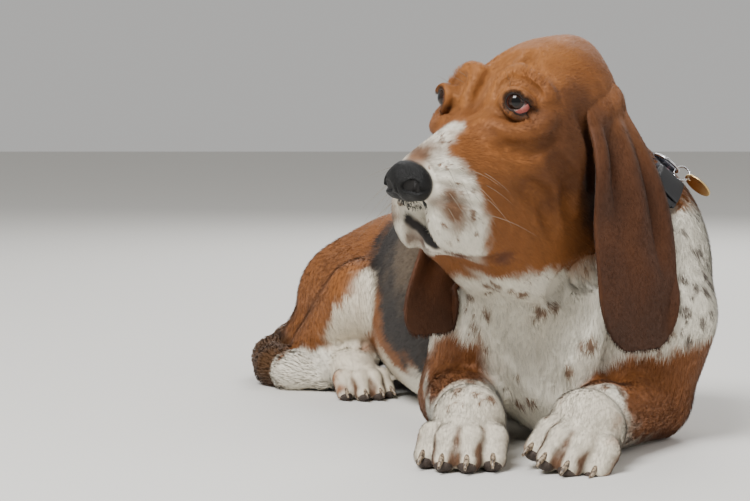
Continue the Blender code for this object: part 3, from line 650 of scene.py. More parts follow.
def coat_of(points: np.ndarray, lumps: Iterable[Lump]) -> tuple[np.ndarray, np.ndarray, np.ndarray]:
    """The lie, the length and the zone of the coat at each point.

    Args:
        points: The points, one a row.
        lumps: The lumps of flesh.

    Returns:
        The way that the coat lies, its length, and the number of its zone.
    """
    zones = list(Zone)
    lie = np.zeros((len(points), 3))
    hair = np.zeros(len(points))
    total = np.full(len(points), 1e-9)
    shares = np.zeros((len(points), len(zones)))
    for lump in lumps:
        if lump.carves:
            continue
        near = lump.near(points)
        weight = np.exp(-np.clip(lump.depth(points[near]), -0.006, 0.08) / 0.007)
        lie[near] += weight[:, None] * np.array(lump.lie)
        hair[near] += weight * lump.hair
        total[near] += weight
        shares[near, zones.index(lump.zone)] += weight
    return lie, hair / total, shares.argmax(axis=1)


EYE_RADIUS = 0.0128
EYE_FORWARD, EYE_ASIDE, EYE_UP = 0.0775, 0.0400, 0.0372
GAZE = Vector((0.80, 0.60, 0.06)).normalized()
LOOK = Vector((0.770, 0.549, 0.336)).normalized()
LID_THICKNESS = 0.0016
NOSE_FORWARD, NOSE_UP = 0.197, 0.001
HEAD_YAW, HEAD_PITCH, HEAD_ROLL = -134.0, 19.0, -3.0
TRUNK_HEADING = -66.1
WORLD = Place(Vector((0.0, 0.0, 0.0)), Matrix.Identity(3))
SKULL = Place(Vector((0.160, 0.140, 0.330)), turned(HEAD_YAW, HEAD_PITCH, HEAD_ROLL))
HANG = Place(SKULL.origin, turned(HEAD_YAW, 0.0, HEAD_ROLL))
TRUNK = Place(Vector((0.037, 0.660, 0.0)), turned(TRUNK_HEADING))
NECK_LOW, NECK_HIGH = Vector((0.250, 0.318, 0.182)), Vector((0.184, 0.186, 0.300))
NECK_MIDDLE = (NECK_LOW + NECK_HIGH) / 2
NECK = Place(NECK_MIDDLE, frame_of(NECK_HIGH - NECK_LOW, Vector((0, -1, 0))))
THROAT_WAY = Vector((0.172, 0.152, 0.168)) - NECK_MIDDLE
COLLAR = Place(NECK_MIDDLE, frame_of(THROAT_WAY.cross(NECK.turn.col[1]), THROAT_WAY))
COLLAR_WIDTH, COLLAR_THICKNESS = 0.025, 0.0030


LID_OPENINGS: tuple[tuple[Triple, Triple], ...] = (
    ((0.0120, -0.0020, 0.0037), (0.0160, 0.0084, 0.0080)),
    ((0.0120, 0.0034, -0.0019), (0.0160, 0.0080, 0.0078)),
    ((0.0100, 0.0082, -0.0060), (0.0160, 0.0044, 0.0040)),
)
LID_EDGE = EYE_RADIUS + 0.0008


def eye_place(side: int) -> Place:
    """The frame of an eyeball, +1 for the left one, whose x axis is the way that it looks."""
    turn = frame_of(Vector((0, 0, 1)), Vector((GAZE.x, side * GAZE.y, GAZE.z)))
    return Place(SKULL.point(EYE_FORWARD, side * EYE_ASIDE, EYE_UP), SKULL.turn @ turn)


def lid_margin(spots: np.ndarray, side: int) -> np.ndarray:
    """How far outside the opening of the lids places on the eye are.

    Args:
        spots: Places in the eye's frame, one a row.
        side: +1 for the left eye.

    Returns:
        The distances, below zero in the opening.
    """
    margins = []
    for centre, radii in LID_OPENINGS:
        away = (spots - np.array(centre) * (1, side, 1)) / np.array(radii)
        margins.append((np.linalg.norm(away, axis=1) - 1.0) * radii[2])
    return np.min(margins, axis=0)


def lid_line(side: int, steps: int, wider: float = 0.0) -> list[Vector]:
    """Points round the opening of the lids.

    Args:
        side: +1 for the left eye.
        steps: How many points.
        wider: An angle by which they lie farther out.

    Returns:
        The points, in the eye's frame and on the ball on which the lids meet it.
    """
    tilts = np.linspace(0.0, 1.45, 146)
    line = []
    for k in range(steps):
        angle = 2 * math.pi * k / steps
        ways = np.stack((np.cos(tilts), np.sin(tilts) * math.cos(angle), np.sin(tilts) * math.sin(angle)), axis=1)
        last = tilts[np.flatnonzero(lid_margin(ways * LID_EDGE, side) < 0)[-1]] + wider
        rim = Vector((math.cos(last), math.sin(last) * math.cos(angle), math.sin(last) * math.sin(angle)))
        line.append(rim * LID_EDGE)
    return line


def placement() -> Vector:
    """How far the solids' frame is from the hound's own one, found at the left eye."""
    low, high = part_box("eye_left")
    return (low + high) / 2 - eye_place(1).origin


@dataclass(frozen=True)
class Paw:
    """A paw of four toes on its pads."""

    name: str
    claw_name: str
    root: Vector
    heading: float
    roll: float
    size: float
    reach: tuple[float, ...] = (0.046, 0.060, 0.060, 0.044)
    aside: tuple[float, ...] = (0.0315, 0.0110, -0.0110, -0.0315)

    def place(self) -> Place:
        """The paw's frame, on the floor under its root."""
        return Place(Vector((self.root.x, self.root.y, 0.0)), turned(self.heading, 0.0, self.roll))

    def toes(self) -> list[tuple[Vector, Vector, Vector]]:
        """For each toe its knuckle, its tip and the way that it points."""
        found = []
        for reach, aside in zip(self.reach, self.aside):
            knuckle = Vector((reach - 0.016, aside * 0.92, 0.0275)) * self.size
            tip = Vector((reach, aside, 0.0110)) * self.size
            found.append((knuckle, tip, Vector((1.0, aside * 5.0, 0.0)).normalized()))
        return found

    def add_to(self, lumps: list[Lump], zone: Zone) -> None:
        """Adds the middle of the paw, its heel pad and its toes.

        Args:
            lumps: The flesh so far.
            zone: The coat zone that the paw is in.
        """
        s = self.size
        region = Region(self.place(), zone, (1.0, 0.0, -0.3), 0.0046, lumps)
        region.bar((0, 0, 0.034 * s), (0.026 * s, 0, 0.027 * s), 0.031 * s, 0.026 * s, FIRM)
        region.ball((0.016 * s, 0, 0.009 * s), (0.024 * s, 0.026 * s, 0.013 * s), CRISP)
        for knuckle, tip, _way in self.toes():
            root = (0.010 * s, knuckle.y * 0.60, 0.030 * s)
            region.bar(root, tuple(knuckle), 0.0150 * s, 0.0135 * s, CRISP, along=True)
            region.bar(tuple(knuckle), tuple(tip), 0.0135 * s, 0.0125 * s, CRISP, along=True)


@dataclass(frozen=True)
class ForeLeg:
    """One front leg: its elbow on the floor, the forearm, the wrist and the paw."""

    side: str
    shoulder: Vector
    elbow: Vector
    wrist: Vector
    heading: tuple[float, float]
    roll: float

    def paw(self) -> Paw:
        """The paw at its end."""
        heading = math.degrees(math.atan2(self.heading[1], self.heading[0]))
        return Paw(f"forepaw_{self.side}", f"claw_fore_{self.side}", self.wrist, heading, self.roll, 1.0)

    def add_to(self, lumps: list[Lump]) -> None:
        """Adds the leg and its paw to the flesh."""
        region = Region(WORLD, Zone.FORELEGS, (0.0, -0.6, -0.8), 0.009, lumps)
        region.bar(tuple(self.shoulder), tuple(self.elbow), 0.050, 0.041, SOFT, along=True)
        region.bar(tuple(self.elbow), tuple(self.wrist), 0.043, 0.031, FIRM, along=True)
        region.ball(tuple(self.wrist), (0.033, 0.033, 0.031), FIRM)
        self.paw().add_to(lumps, Zone.FORELEGS)


@dataclass(frozen=True)
class HindLeg:
    """One hind leg, folded beside the belly: side is +1 for the left one."""

    name: str
    side: int

    def paw(self) -> Paw:
        """The paw at its end."""
        root = TRUNK.point(0.112, self.side * 0.117, 0.0)
        heading = TRUNK_HEADING + math.degrees(self.side * 0.02)
        return Paw(f"hindpaw_{self.name}", f"claw_hind_{self.name}", root, heading, 0.0, 0.82)

    def add_to(self, lumps: list[Lump]) -> None:
        """Adds the leg and its paw to the flesh."""
        s = self.side
        region = Region(TRUNK, Zone.HINDLEGS, (0.2, 0.0, -1.0), 0.0095, lumps)
        region.bar((0, s * 0.060, 0.100), (0.092, s * 0.090, 0.108), 0.078, 0.050, SOFT)
        region.ball((-0.030, s * 0.085, 0.045), (0.075, 0.060, 0.055), SOFT)
        region.bar((0.098, s * 0.104, 0.112), (0.016, s * 0.122, 0.048), 0.042, 0.032, FIRM)
        foot = Region(TRUNK, Zone.HINDLEGS, (1.0, 0.0, -0.2), 0.008, lumps)
        foot.bar((0.006, s * 0.122, 0.034), (0.112, s * 0.117, 0.028), 0.031, 0.024, FIRM, along=True)
        self.paw().add_to(lumps, Zone.HINDLEGS)


FORE_LEGS = (
    ForeLeg("left", Vector((0.290, 0.182, 0.125)), Vector((0.276, 0.203, 0.041)), Vector((0.196, 0.056, 0.038)),
            (-0.50, -0.86), -14.0),
    ForeLeg("right", Vector((0.108, 0.195, 0.120)), Vector((0.088, 0.225, 0.041)), Vector((0.089, 0.070, 0.040)),
            (-0.24, -0.97), 0.0),
)
HIND_LEGS = (HindLeg("left", 1), HindLeg("right", -1))
PAWS = tuple(leg.paw() for leg in (*FORE_LEGS, *HIND_LEGS))


MOUTH_SLIT: tuple[Triple, ...] = (
    (0.175, -0.0100, -0.094), (0.169, -0.0105, -0.101), (0.162, -0.0085, -0.107),
    (0.157, -0.0040, -0.112), (0.156, 0.0030, -0.117), (0.151, 0.0080, -0.123),
)


def mouth_line(side: int) -> tuple[Triple, ...]:
    """The line of the mouth, from under the nose to its corner, in the frame of the hanging lips."""
    return ((0.182, side * 0.001, -0.088), (0.171, side * 0.005, -0.106), (0.154, side * 0.015, -0.127),
            (0.124, side * 0.038, -0.138), (0.094, side * 0.052, -0.130))


def collar_reach(angle: float) -> float:
    """How far from the middle of the neck the collar may lie, at an angle from the front to the left."""
    along, aside = math.cos(angle), math.sin(angle)
    reach_along = 0.116 if along > 0 else 0.090
    reach_aside = 0.090 if aside > 0 else 0.092
    return 1.0 / math.hypot(along / reach_along, aside / reach_aside)


@dataclass
class Anatomy:
    """The flesh of the whole hound as one field of lumps, in the order that they blend."""

    lumps: list[Lump] = field(default_factory=list)
    collar_at: int = 0

    def build(self) -> "Anatomy":
        """Fills the field.

        Returns:
            Itself.
        """
        self.add_skull()
        self.add_lips()
        self.add_body()
        self.collar_at = len(self.lumps)
        self.add_crease()
        self.add_eyelids()
        self.add_mouth()
        return self

    def add_skull(self) -> None:
        """The skull, brows, cheeks and the top of the muzzle."""
        top = Region(SKULL, Zone.HEAD, (-1.0, 0.0, -0.25), 0.0060, self.lumps)
        top.ball((-0.010, 0, 0.006), (0.074, 0.064, 0.061))
        top.ball((-0.056, 0, 0.030), (0.026, 0.024, 0.024))
        top.ball((0.032, 0, 0.020), (0.050, 0.048, 0.042))
        top.bar((0.070, 0, 0.008), (0.182, 0, 0.002), 0.030, 0.0205)
        for s in (1, -1):
            cheek = Region(SKULL, Zone.HEAD, (-0.8, 0.0, -0.5), 0.0060, self.lumps)
            muzzle = Region(SKULL, Zone.HEAD, (-0.9, 0.0, -0.45), 0.0042, self.lumps)
            brow = Region(SKULL, Zone.HEAD, (-0.7, 0.0, 0.5), 0.0050, self.lumps)
            brow.ball((0.059, s * 0.030, 0.041), (0.029, 0.018, 0.016), FIRM)
            cheek.ball((0.046, s * 0.043, 0.012), (0.040, 0.024, 0.030))
            cheek.ball((0.078, s * 0.024, 0.002), (0.044, 0.024, 0.026))
            cheek.ball((0.030, s * 0.040, -0.030), (0.062, 0.030, 0.056), 0.03)
            muzzle.bar((0.045, s * 0.034, -0.026), (0.122, s * 0.016, -0.026), 0.034, 0.024, 0.03)
            muzzle.ball((0.152, s * 0.015, -0.015), (0.040, 0.020, 0.030), FIRM)

    def add_lips(self) -> None:
        """The hanging lips, chin, jaw and the loose skin of the throat."""
        jaw = Region(HANG, Zone.HEAD, (-0.7, 0.0, -0.6), 0.0065, self.lumps)
        flew = Region(HANG, Zone.HEAD, (-0.6, 0.0, -0.7), 0.0050, self.lumps)
        jaw.bar((0.030, 0, -0.105), (0.140, 0, -0.116), 0.036, 0.017, FIRM)
        jaw.ball((0.020, 0, -0.114), (0.074, 0.044, 0.060), 0.03)
        for s in (1, -1):
            flew.ball((0.138, s * 0.021, -0.086), (0.039, 0.019, 0.046), FIRM)
            flew.ball((0.108, s * 0.033, -0.094), (0.048, 0.019, 0.043))
            jaw.ball((0.030, s * 0.028, -0.120), (0.072, 0.026, 0.060), 0.03)
        nose = Region(SKULL, Zone.HEAD, (-1.0, 0.0, -0.25), 0.0030, self.lumps)
        nose.ball((NOSE_FORWARD, 0, NOSE_UP), (0.017, 0.020, 0.0185), CRISP)
        for s in (1, -1):
            nose.ball((NOSE_FORWARD - 0.001, s * 0.0135, NOSE_UP - 0.003), (0.0150, 0.0110, 0.0140), CRISP)

    def add_body(self) -> None:
        """The chest, neck, ribs, rump, belly and legs."""
        chest = Region(WORLD, Zone.TORSO, (0.0, -0.35, -1.0), 0.010, self.lumps)
        soft = 0.045
        chest.ball((0.205, 0.250, 0.125), (0.098, 0.122, 0.122), soft)
        chest.ball((0.182, 0.175, 0.085), (0.070, 0.060, 0.075), soft)
        chest.ball((0.120, 0.215, 0.135), (0.048, 0.070, 0.085), soft)
        chest.ball((0.286, 0.220, 0.145), (0.052, 0.078, 0.090), soft)
        chest.ball((0.276, 0.270, 0.195), (0.058, 0.090, 0.075), soft)
        back = Region(TRUNK, Zone.TORSO, (-1.0, 0.0, -0.55), 0.010, self.lumps)
        back.ball((0.285, -0.010, 0.126), (0.190, 0.114, 0.120), soft)
        back.ball((0.120, 0.0, 0.120), (0.150, 0.094, 0.098), soft)
        back.ball((0.000, 0.0, 0.114), (0.106, 0.092, 0.088), soft)
        back.ball((0.240, 0.0, 0.070), (0.200, 0.110, 0.080), soft)
        neck = Region(WORLD, Zone.NECK, (0.25, 0.30, -1.0), 0.013, self.lumps)
        neck.bar(tuple(NECK_HIGH), tuple(NECK_LOW), 0.064, 0.094, 0.03, along=True)
        neck.bar(tuple(HANG.point(-0.01, 0, -0.075)), (0.205, 0.225, 0.150), 0.052, 0.085, 0.03)
        for leg in (*FORE_LEGS, *HIND_LEGS):
            leg.add_to(self.lumps)

    def add_crease(self) -> None:
        """The fold round the neck that the collar lies in."""
        points, radii = [], []
        for step in range(25):
            angle = 2 * math.pi * step / 24
            reach = collar_reach(angle) + 0.015
            points.append((reach * math.cos(angle), reach * math.sin(angle), 0.0))
            radii.append(0.0145 + 0.0035 * max(math.cos(angle), 0.0))
        ring = Region(COLLAR, Zone.NECK, (0.0, 0.0, -1.0), 0.010, self.lumps)
        ring.chain(points, radii, FIRM, carves=True)

    def add_eyelids(self) -> None:
        """Hollows round the eyes, and the lids, which fit the eyeballs."""
        for s in (1, -1):
            lid = Region(eye_place(s), Zone.HEAD, (-0.6, 0.0, -0.8), 0.0018, self.lumps)
            lid.ball((0.015, 0, -0.001), (0.010, 0.020, 0.015), FIRM, carves=True)
            lid.ball((0, 0, 0), (EYE_RADIUS + LID_THICKNESS,) * 3, 0.005)

    def add_mouth(self) -> None:
        """The line of the mouth and the fold between the lips."""
        line = Region(HANG, Zone.HEAD, (-0.6, 0.0, -0.7), 0.003, self.lumps)
        line.bar((0.198, 0, -0.076), (0.182, 0, -0.092), 0.0018, 0.0035, CRISP, carves=True)
        for s in (1, -1):
            line.chain(mouth_line(s), (0.0040, 0.0062, 0.0070, 0.0056, 0.0030), CRISP, carves=True)

    def fold(
        self, region: Region, points: Sequence[Triple], radii: Sequence[float], blend: float, carves: bool = False
    ) -> None:
        """Adds a ridge, or a crease, that follows the surface of the flesh.

        Args:
            region: What it is added to.
            points: Some points near it.
            radii: The radius of its round section at each.
            blend: How softly it meets the surface.
            carves: Whether it is a crease.
        """
        knots = np.arange(len(points))
        shares = np.linspace(0, len(points) - 1, 4 * len(points) - 3)
        local = np.stack([np.interp(shares, knots, column) for column in np.array(points).T], axis=1)
        sizes = np.interp(shares, knots, radii)
        place = region.place
        spots = local @ np.array(place.turn).T + np.array(place.origin)
        height = sizes * (0.4 if carves else -0.4)
        for _ in range(6):
            depth, slope = depth_and_slope(spots, self.lumps)
            size = np.maximum((slope**2).sum(axis=1), 0.25)
            spots -= slope * ((depth - height) / size)[:, None]
        region.chain([tuple(spot) for spot in place.inside(spots)], list(sizes), blend, carves)

    def tail(self) -> list[Lump]:
        """The tail, laid on the floor round the right haunch."""
        points = (
            (0.010, 0.735, 0.110), (-0.052, 0.765, 0.060), (-0.104, 0.730, 0.034), (-0.126, 0.665, 0.025),
            (-0.120, 0.600, 0.022), (-0.096, 0.560, 0.020), (-0.066, 0.545, 0.016),
        )
        tail = Region(WORLD, Zone.TAIL, (0, -1, 0), 0.014)
        tail.chain(points, (0.034, 0.027, 0.024, 0.023, 0.023, 0.022, 0.014), 0.012, along=True)
        return tail.lumps

    def details(self) -> list[Lump]:
        """Folds and wrinkles of the loose skin that are too fine for the solids."""
        fine: list[Lump] = []
        for s in (1, -1):
            self._face_folds(fine, s)
            self._lids(fine, s)
            self._lip_folds(fine, s)
        bed = Region(SKULL, Zone.HEAD, (-1.0, 0.0, -0.25), 0.0030, fine)
        for s in (1, -1):
            bed.bar((NOSE_FORWARD + 0.020, s * 0.0092, 0.0010), (NOSE_FORWARD + 0.002, s * 0.0100, 0.0010),
                    0.0062, 0.0056, 0.002, carves=True)
            bed.bar((NOSE_FORWARD + 0.014, s * 0.0120, 0.0000), (NOSE_FORWARD + 0.002, s * 0.0245, -0.0048),
                    0.0050, 0.0034, 0.002, carves=True)
        brow = Region(SKULL, Zone.HEAD, (-1.0, 0.0, -0.25), 0.0055, fine)
        self.fold(brow, ((0.026, 0, 0.068), (0.050, 0, 0.058), (0.078, 0, 0.046), (0.104, 0, 0.034)),
                  (0.0030, 0.0050, 0.0056, 0.0020), 0.009, carves=True)
        self._body_folds(fine)
        return fine

    def _face_folds(self, fine: list[Lump], s: int) -> None:
        """The drawn brow, the bags under the eye and the folds of the cheek, on one side."""
        ridge = Region(SKULL, Zone.HEAD, (-0.7, 0.0, 0.5), 0.0050, fine)
        skin = Region(SKULL, Zone.HEAD, (-0.8, 0.0, -0.5), 0.0055, fine)
        self.fold(ridge, ((0.088, s * 0.014, 0.0400), (0.070, s * 0.014, 0.0520), (0.056, s * 0.022, 0.0600),
                          (0.052, s * 0.036, 0.0590), (0.056, s * 0.050, 0.0500), (0.054, s * 0.062, 0.0360)),
                  (0.0020, 0.0046, 0.0064, 0.0064, 0.0056, 0.0030), 0.010)
        self.fold(skin, ((0.082, s * 0.024, 0.0460), (0.071, s * 0.030, 0.0540), (0.068, s * 0.044, 0.0520),
                         (0.064, s * 0.056, 0.0420)), (0.0016, 0.0040, 0.0044, 0.0020), 0.007, carves=True)
        self.fold(skin, ((0.016, s * 0.018, 0.0660), (0.036, s * 0.028, 0.0640), (0.040, s * 0.050, 0.0560)),
                  (0.0016, 0.0036, 0.0016), 0.009, carves=True)
        self.fold(skin, ((0.104, s * 0.026, 0.0240), (0.098, s * 0.045, 0.0130), (0.081, s * 0.060, 0.0110),
                         (0.064, s * 0.066, 0.0190)), (0.0024, 0.0046, 0.0050, 0.0030), 0.009)
        self.fold(skin, ((0.114, s * 0.036, 0.0060), (0.094, s * 0.056, -0.0040), (0.070, s * 0.068, 0.0000)),
                  (0.0016, 0.0040, 0.0016), 0.009, carves=True)
        self.fold(skin, ((0.075, s * 0.067, -0.016), (0.060, s * 0.071, -0.045), (0.058, s * 0.067, -0.078)),
                  (0.0018, 0.0046, 0.0024), 0.012, carves=True)
        self.fold(skin, ((0.108, s * 0.048, -0.030), (0.088, s * 0.060, -0.052), (0.080, s * 0.062, -0.085)),
                  (0.0018, 0.0046, 0.0024), 0.012, carves=True)
        self.fold(skin, ((0.030, s * 0.070, 0.010), (0.022, s * 0.074, -0.020), (0.026, s * 0.070, -0.060)),
                  (0.0020, 0.0044, 0.0024), 0.012, carves=True)

    def _lids(self, fine: list[Lump], s: int) -> None:
        """The thick edge of both lids, on one side."""
        lid = Region(eye_place(s), Zone.HEAD, (-0.6, 0.0, -0.8), 0.0014, fine)
        line = [tuple(point) for point in lid_line(s, 24, wider=0.16)]
        lid.chain([*line, line[0]], [0.0026] * 25, 0.005)

    def _lip_folds(self, fine: list[Lump], s: int) -> None:
        """The opening between the lips and the rows that the whiskers stand in, on one side."""
        lip = Region(HANG, Zone.HEAD, (-0.6, 0.0, -0.7), 0.0030, fine)
        lip.chain(mouth_line(s)[:4], (0.0030, 0.0050, 0.0058, 0.0040), 0.002, carves=True)
        for rise in (-0.050, -0.064, -0.078):
            self.fold(lip, ((0.176, s * 0.030, rise), (0.160, s * 0.041, rise - 0.002), (0.138, s * 0.045, rise - 0.006)),
                      (0.0008, 0.0016, 0.0008), 0.004, carves=True)

    def _body_folds(self, fine: list[Lump]) -> None:
        """The folds of the throat, the chest and the wrists."""
        chest = Region(WORLD, Zone.TORSO, (0.0, -0.35, -1.0), 0.013, fine)
        self.fold(chest, ((0.112, 0.140, 0.160), (0.132, 0.121, 0.125), (0.152, 0.112, 0.092), (0.168, 0.112, 0.062)),
                  (0.003, 0.008, 0.009, 0.004), 0.020, carves=True)
        self.fold(chest, ((0.205, 0.118, 0.150), (0.184, 0.110, 0.120), (0.158, 0.111, 0.092)),
                  (0.003, 0.008, 0.006), 0.020, carves=True)
        self.fold(chest, ((0.246, 0.128, 0.150), (0.250, 0.118, 0.115), (0.236, 0.112, 0.080)),
                  (0.003, 0.008, 0.006), 0.018, carves=True)
        self.fold(chest, ((0.140, 0.120, 0.170), (0.176, 0.108, 0.166), (0.212, 0.110, 0.172), (0.240, 0.124, 0.186)),
                  (0.004, 0.009, 0.009, 0.004), 0.016, carves=True)
        for leg in FORE_LEGS:
            way = (leg.wrist - leg.elbow).normalized()
            arm = Place(leg.wrist, frame_of(Vector((0, 0, 1)), way))
            wrist = Region(arm, Zone.FORELEGS, (1.0, 0.0, -0.3), 0.008, fine)
            for back, rise in ((-0.022, 0.0350),):
                wrist.chain(((back, 0.034, 0.004), (back + 0.004, 0.024, 0.026), (back + 0.004, 0.0, rise),
                             (back, -0.024, 0.026), (back - 0.004, -0.034, 0.004)),
                            (0.001, 0.0018, 0.0022, 0.0018, 0.001), 0.012, carves=True)


def points_of(mesh: bpy.types.Mesh) -> np.ndarray:
    """The mesh's points, one a row."""
    flat = np.empty(len(mesh.vertices) * 3)
    mesh.vertices.foreach_get("co", flat)
    return flat.reshape(-1, 3)


def set_points(mesh: bpy.types.Mesh, points: np.ndarray) -> None:
    """Moves the mesh's points."""
    mesh.vertices.foreach_set("co", points.ravel())
    mesh.update()


def settle(mesh: bpy.types.Mesh, lumps: Sequence[Lump], rounds: int, sunk: np.ndarray | float = 0.0) -> None:
    """Moves a mesh's points onto the blended flesh.

    Args:
        mesh: The mesh.
        lumps: The flesh.
        rounds: How many times the points move.
        sunk: How far under the surface they come to lie.
    """
    points = points_of(mesh)
    for _ in range(rounds):
        depth, slope = depth_and_slope(points, lumps)
        size = np.maximum((slope**2).sum(axis=1), 0.25)
        points -= slope * np.clip((depth + sunk) / size, -0.008, 0.008)[:, None]
    set_points(mesh, points)


def object_from(name: str, source: bmesh.types.BMesh | bpy.types.Mesh) -> bpy.types.Object:
    """A new object in the scene. A bmesh is freed."""
    mesh = source
    if isinstance(source, bmesh.types.BMesh):
        mesh = bpy.data.meshes.new(name)
        source.to_mesh(mesh)
        source.free()
    made = bpy.data.objects.new(name, mesh)
    bpy.context.scene.collection.objects.link(made)
    return made


def apply_modifiers(obj: bpy.types.Object) -> None:
    """Gives the object the mesh that its modifiers make, and drops them."""
    bpy.context.view_layer.update()
    graph = bpy.context.evaluated_depsgraph_get()
    obj.data = bpy.data.meshes.new_from_object(obj.evaluated_get(graph))
    obj.modifiers.clear()


def relax(obj: bpy.types.Object, rounds: int, share: float = 0.5) -> None:
    """Evens out the spacing of the points, but leaves open edges."""
    bm = bmesh.new()
    bm.from_mesh(obj.data)
    inner = [v for v in bm.verts if not v.is_boundary]
    for _ in range(rounds):
        bmesh.ops.smooth_vert(bm, verts=inner, factor=share, use_axis_x=True, use_axis_y=True, use_axis_z=True)
    bm.to_mesh(obj.data)
    bm.free()


def refine(obj: bpy.types.Object, near: Sequence[Lump], reach: float) -> None:
    """Halves the faces of a mesh within reach of any of these lumps."""
    depth = flesh_depth(points_of(obj.data), [replace(lump, carves=False) for lump in near])
    bm = bmesh.new()
    bm.from_mesh(obj.data)
    bm.verts.ensure_lookup_table()
    edges = [e for e in bm.edges if depth[e.verts[0].index] < reach and depth[e.verts[1].index] < reach]
    bmesh.ops.subdivide_edges(bm, edges=edges, cuts=1, use_grid_fill=True)
    bmesh.ops.triangulate(bm, faces=[f for f in bm.faces if len(f.verts) > 4])
    bm.to_mesh(obj.data)
    bm.free()


def smooth_shade(mesh: bpy.types.Mesh) -> None:
    """Shades every face smooth."""
    mesh.polygons.foreach_set("use_smooth", np.ones(len(mesh.polygons), dtype=bool))
    mesh.update()


def set_colours(mesh: bpy.types.Mesh, colours: np.ndarray) -> None:
    """Stores one colour of the coat at each point."""
    layer = mesh.color_attributes.new("coat", "FLOAT_COLOR", "POINT")
    full = np.ones((len(colours), 4), np.float32)
    full[:, :3] = colours
    layer.data.foreach_set("color", full.ravel())


def unwrap(obj: bpy.types.Object) -> None:
    """Gives the mesh a UV map without overlaps, called OFBake."""
    obj.data.uv_layers.new(name="OFBake")
    bpy.ops.object.select_all(action="DESELECT")
    bpy.context.view_layer.objects.active = obj
    obj.select_set(True)
    bpy.ops.object.mode_set(mode="EDIT")
    bpy.ops.mesh.select_all(action="SELECT")
    bpy.ops.uv.smart_project(angle_limit=math.radians(66), island_margin=0.001)
    bpy.ops.object.mode_set(mode="OBJECT")


@dataclass
class Display:
    """Where finished pieces go: the frame of the solids."""

    shift: Vector

    def show(
        self, obj: bpy.types.Object, slot: str, material: bpy.types.Material, nodes: Sequence[str] = ()
    ) -> bpy.types.Object:
        """Moves a finished piece into place, dresses it, and hides the solids that it stands for.

        Args:
            obj: The piece, in the hound's frame.
            slot: Not used.
            material: What it is dressed in.
            nodes: The solids that it stands for.

        Returns:
            The same piece.
        """
        obj.data.transform(Matrix.Translation(self.shift))
        obj.data.materials.clear()
        obj.data.materials.append(material)
        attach(obj, "root")
        if nodes:
            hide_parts(*nodes)
        LOG.info("%s: %d faces", obj.name, len(obj.data.polygons))
        return obj


def wander(points: np.ndarray, scale: float, seed: int) -> np.ndarray:
    """A smooth random value of about -1 to 1 at each point.

    Args:
        points: The points, one a row.
        scale: The size of its waves in metres.
        seed: Which of many it is.

    Returns:
        The value at each point.
    """
    random = np.random.default_rng(seed)
    total = np.zeros(len(points))
    for octave in range(3):
        for _ in range(4):
            way = random.normal(size=3)
            way *= 2 * math.pi * 1.9**octave / (scale * np.linalg.norm(way))
            total += np.sin(points @ way + random.uniform(0, 2 * math.pi)) / 1.7**octave
    return total / 3.6


@dataclass
class Patch:
    """One marking: a colour over a few lumps, with a soft and ragged border."""

    colour: Colour
    shape: list[Lump]
    soft: float = 0.006
    ragged: float = 0.006

    def share(self, points: np.ndarray, seed: int) -> np.ndarray:
        """How much of the patch is at each point."""
        depth = flesh_depth(points, self.shape)
        depth = depth + self.ragged * wander(points, 0.035, seed)
        return eased(0.5 - depth / (2 * self.soft))


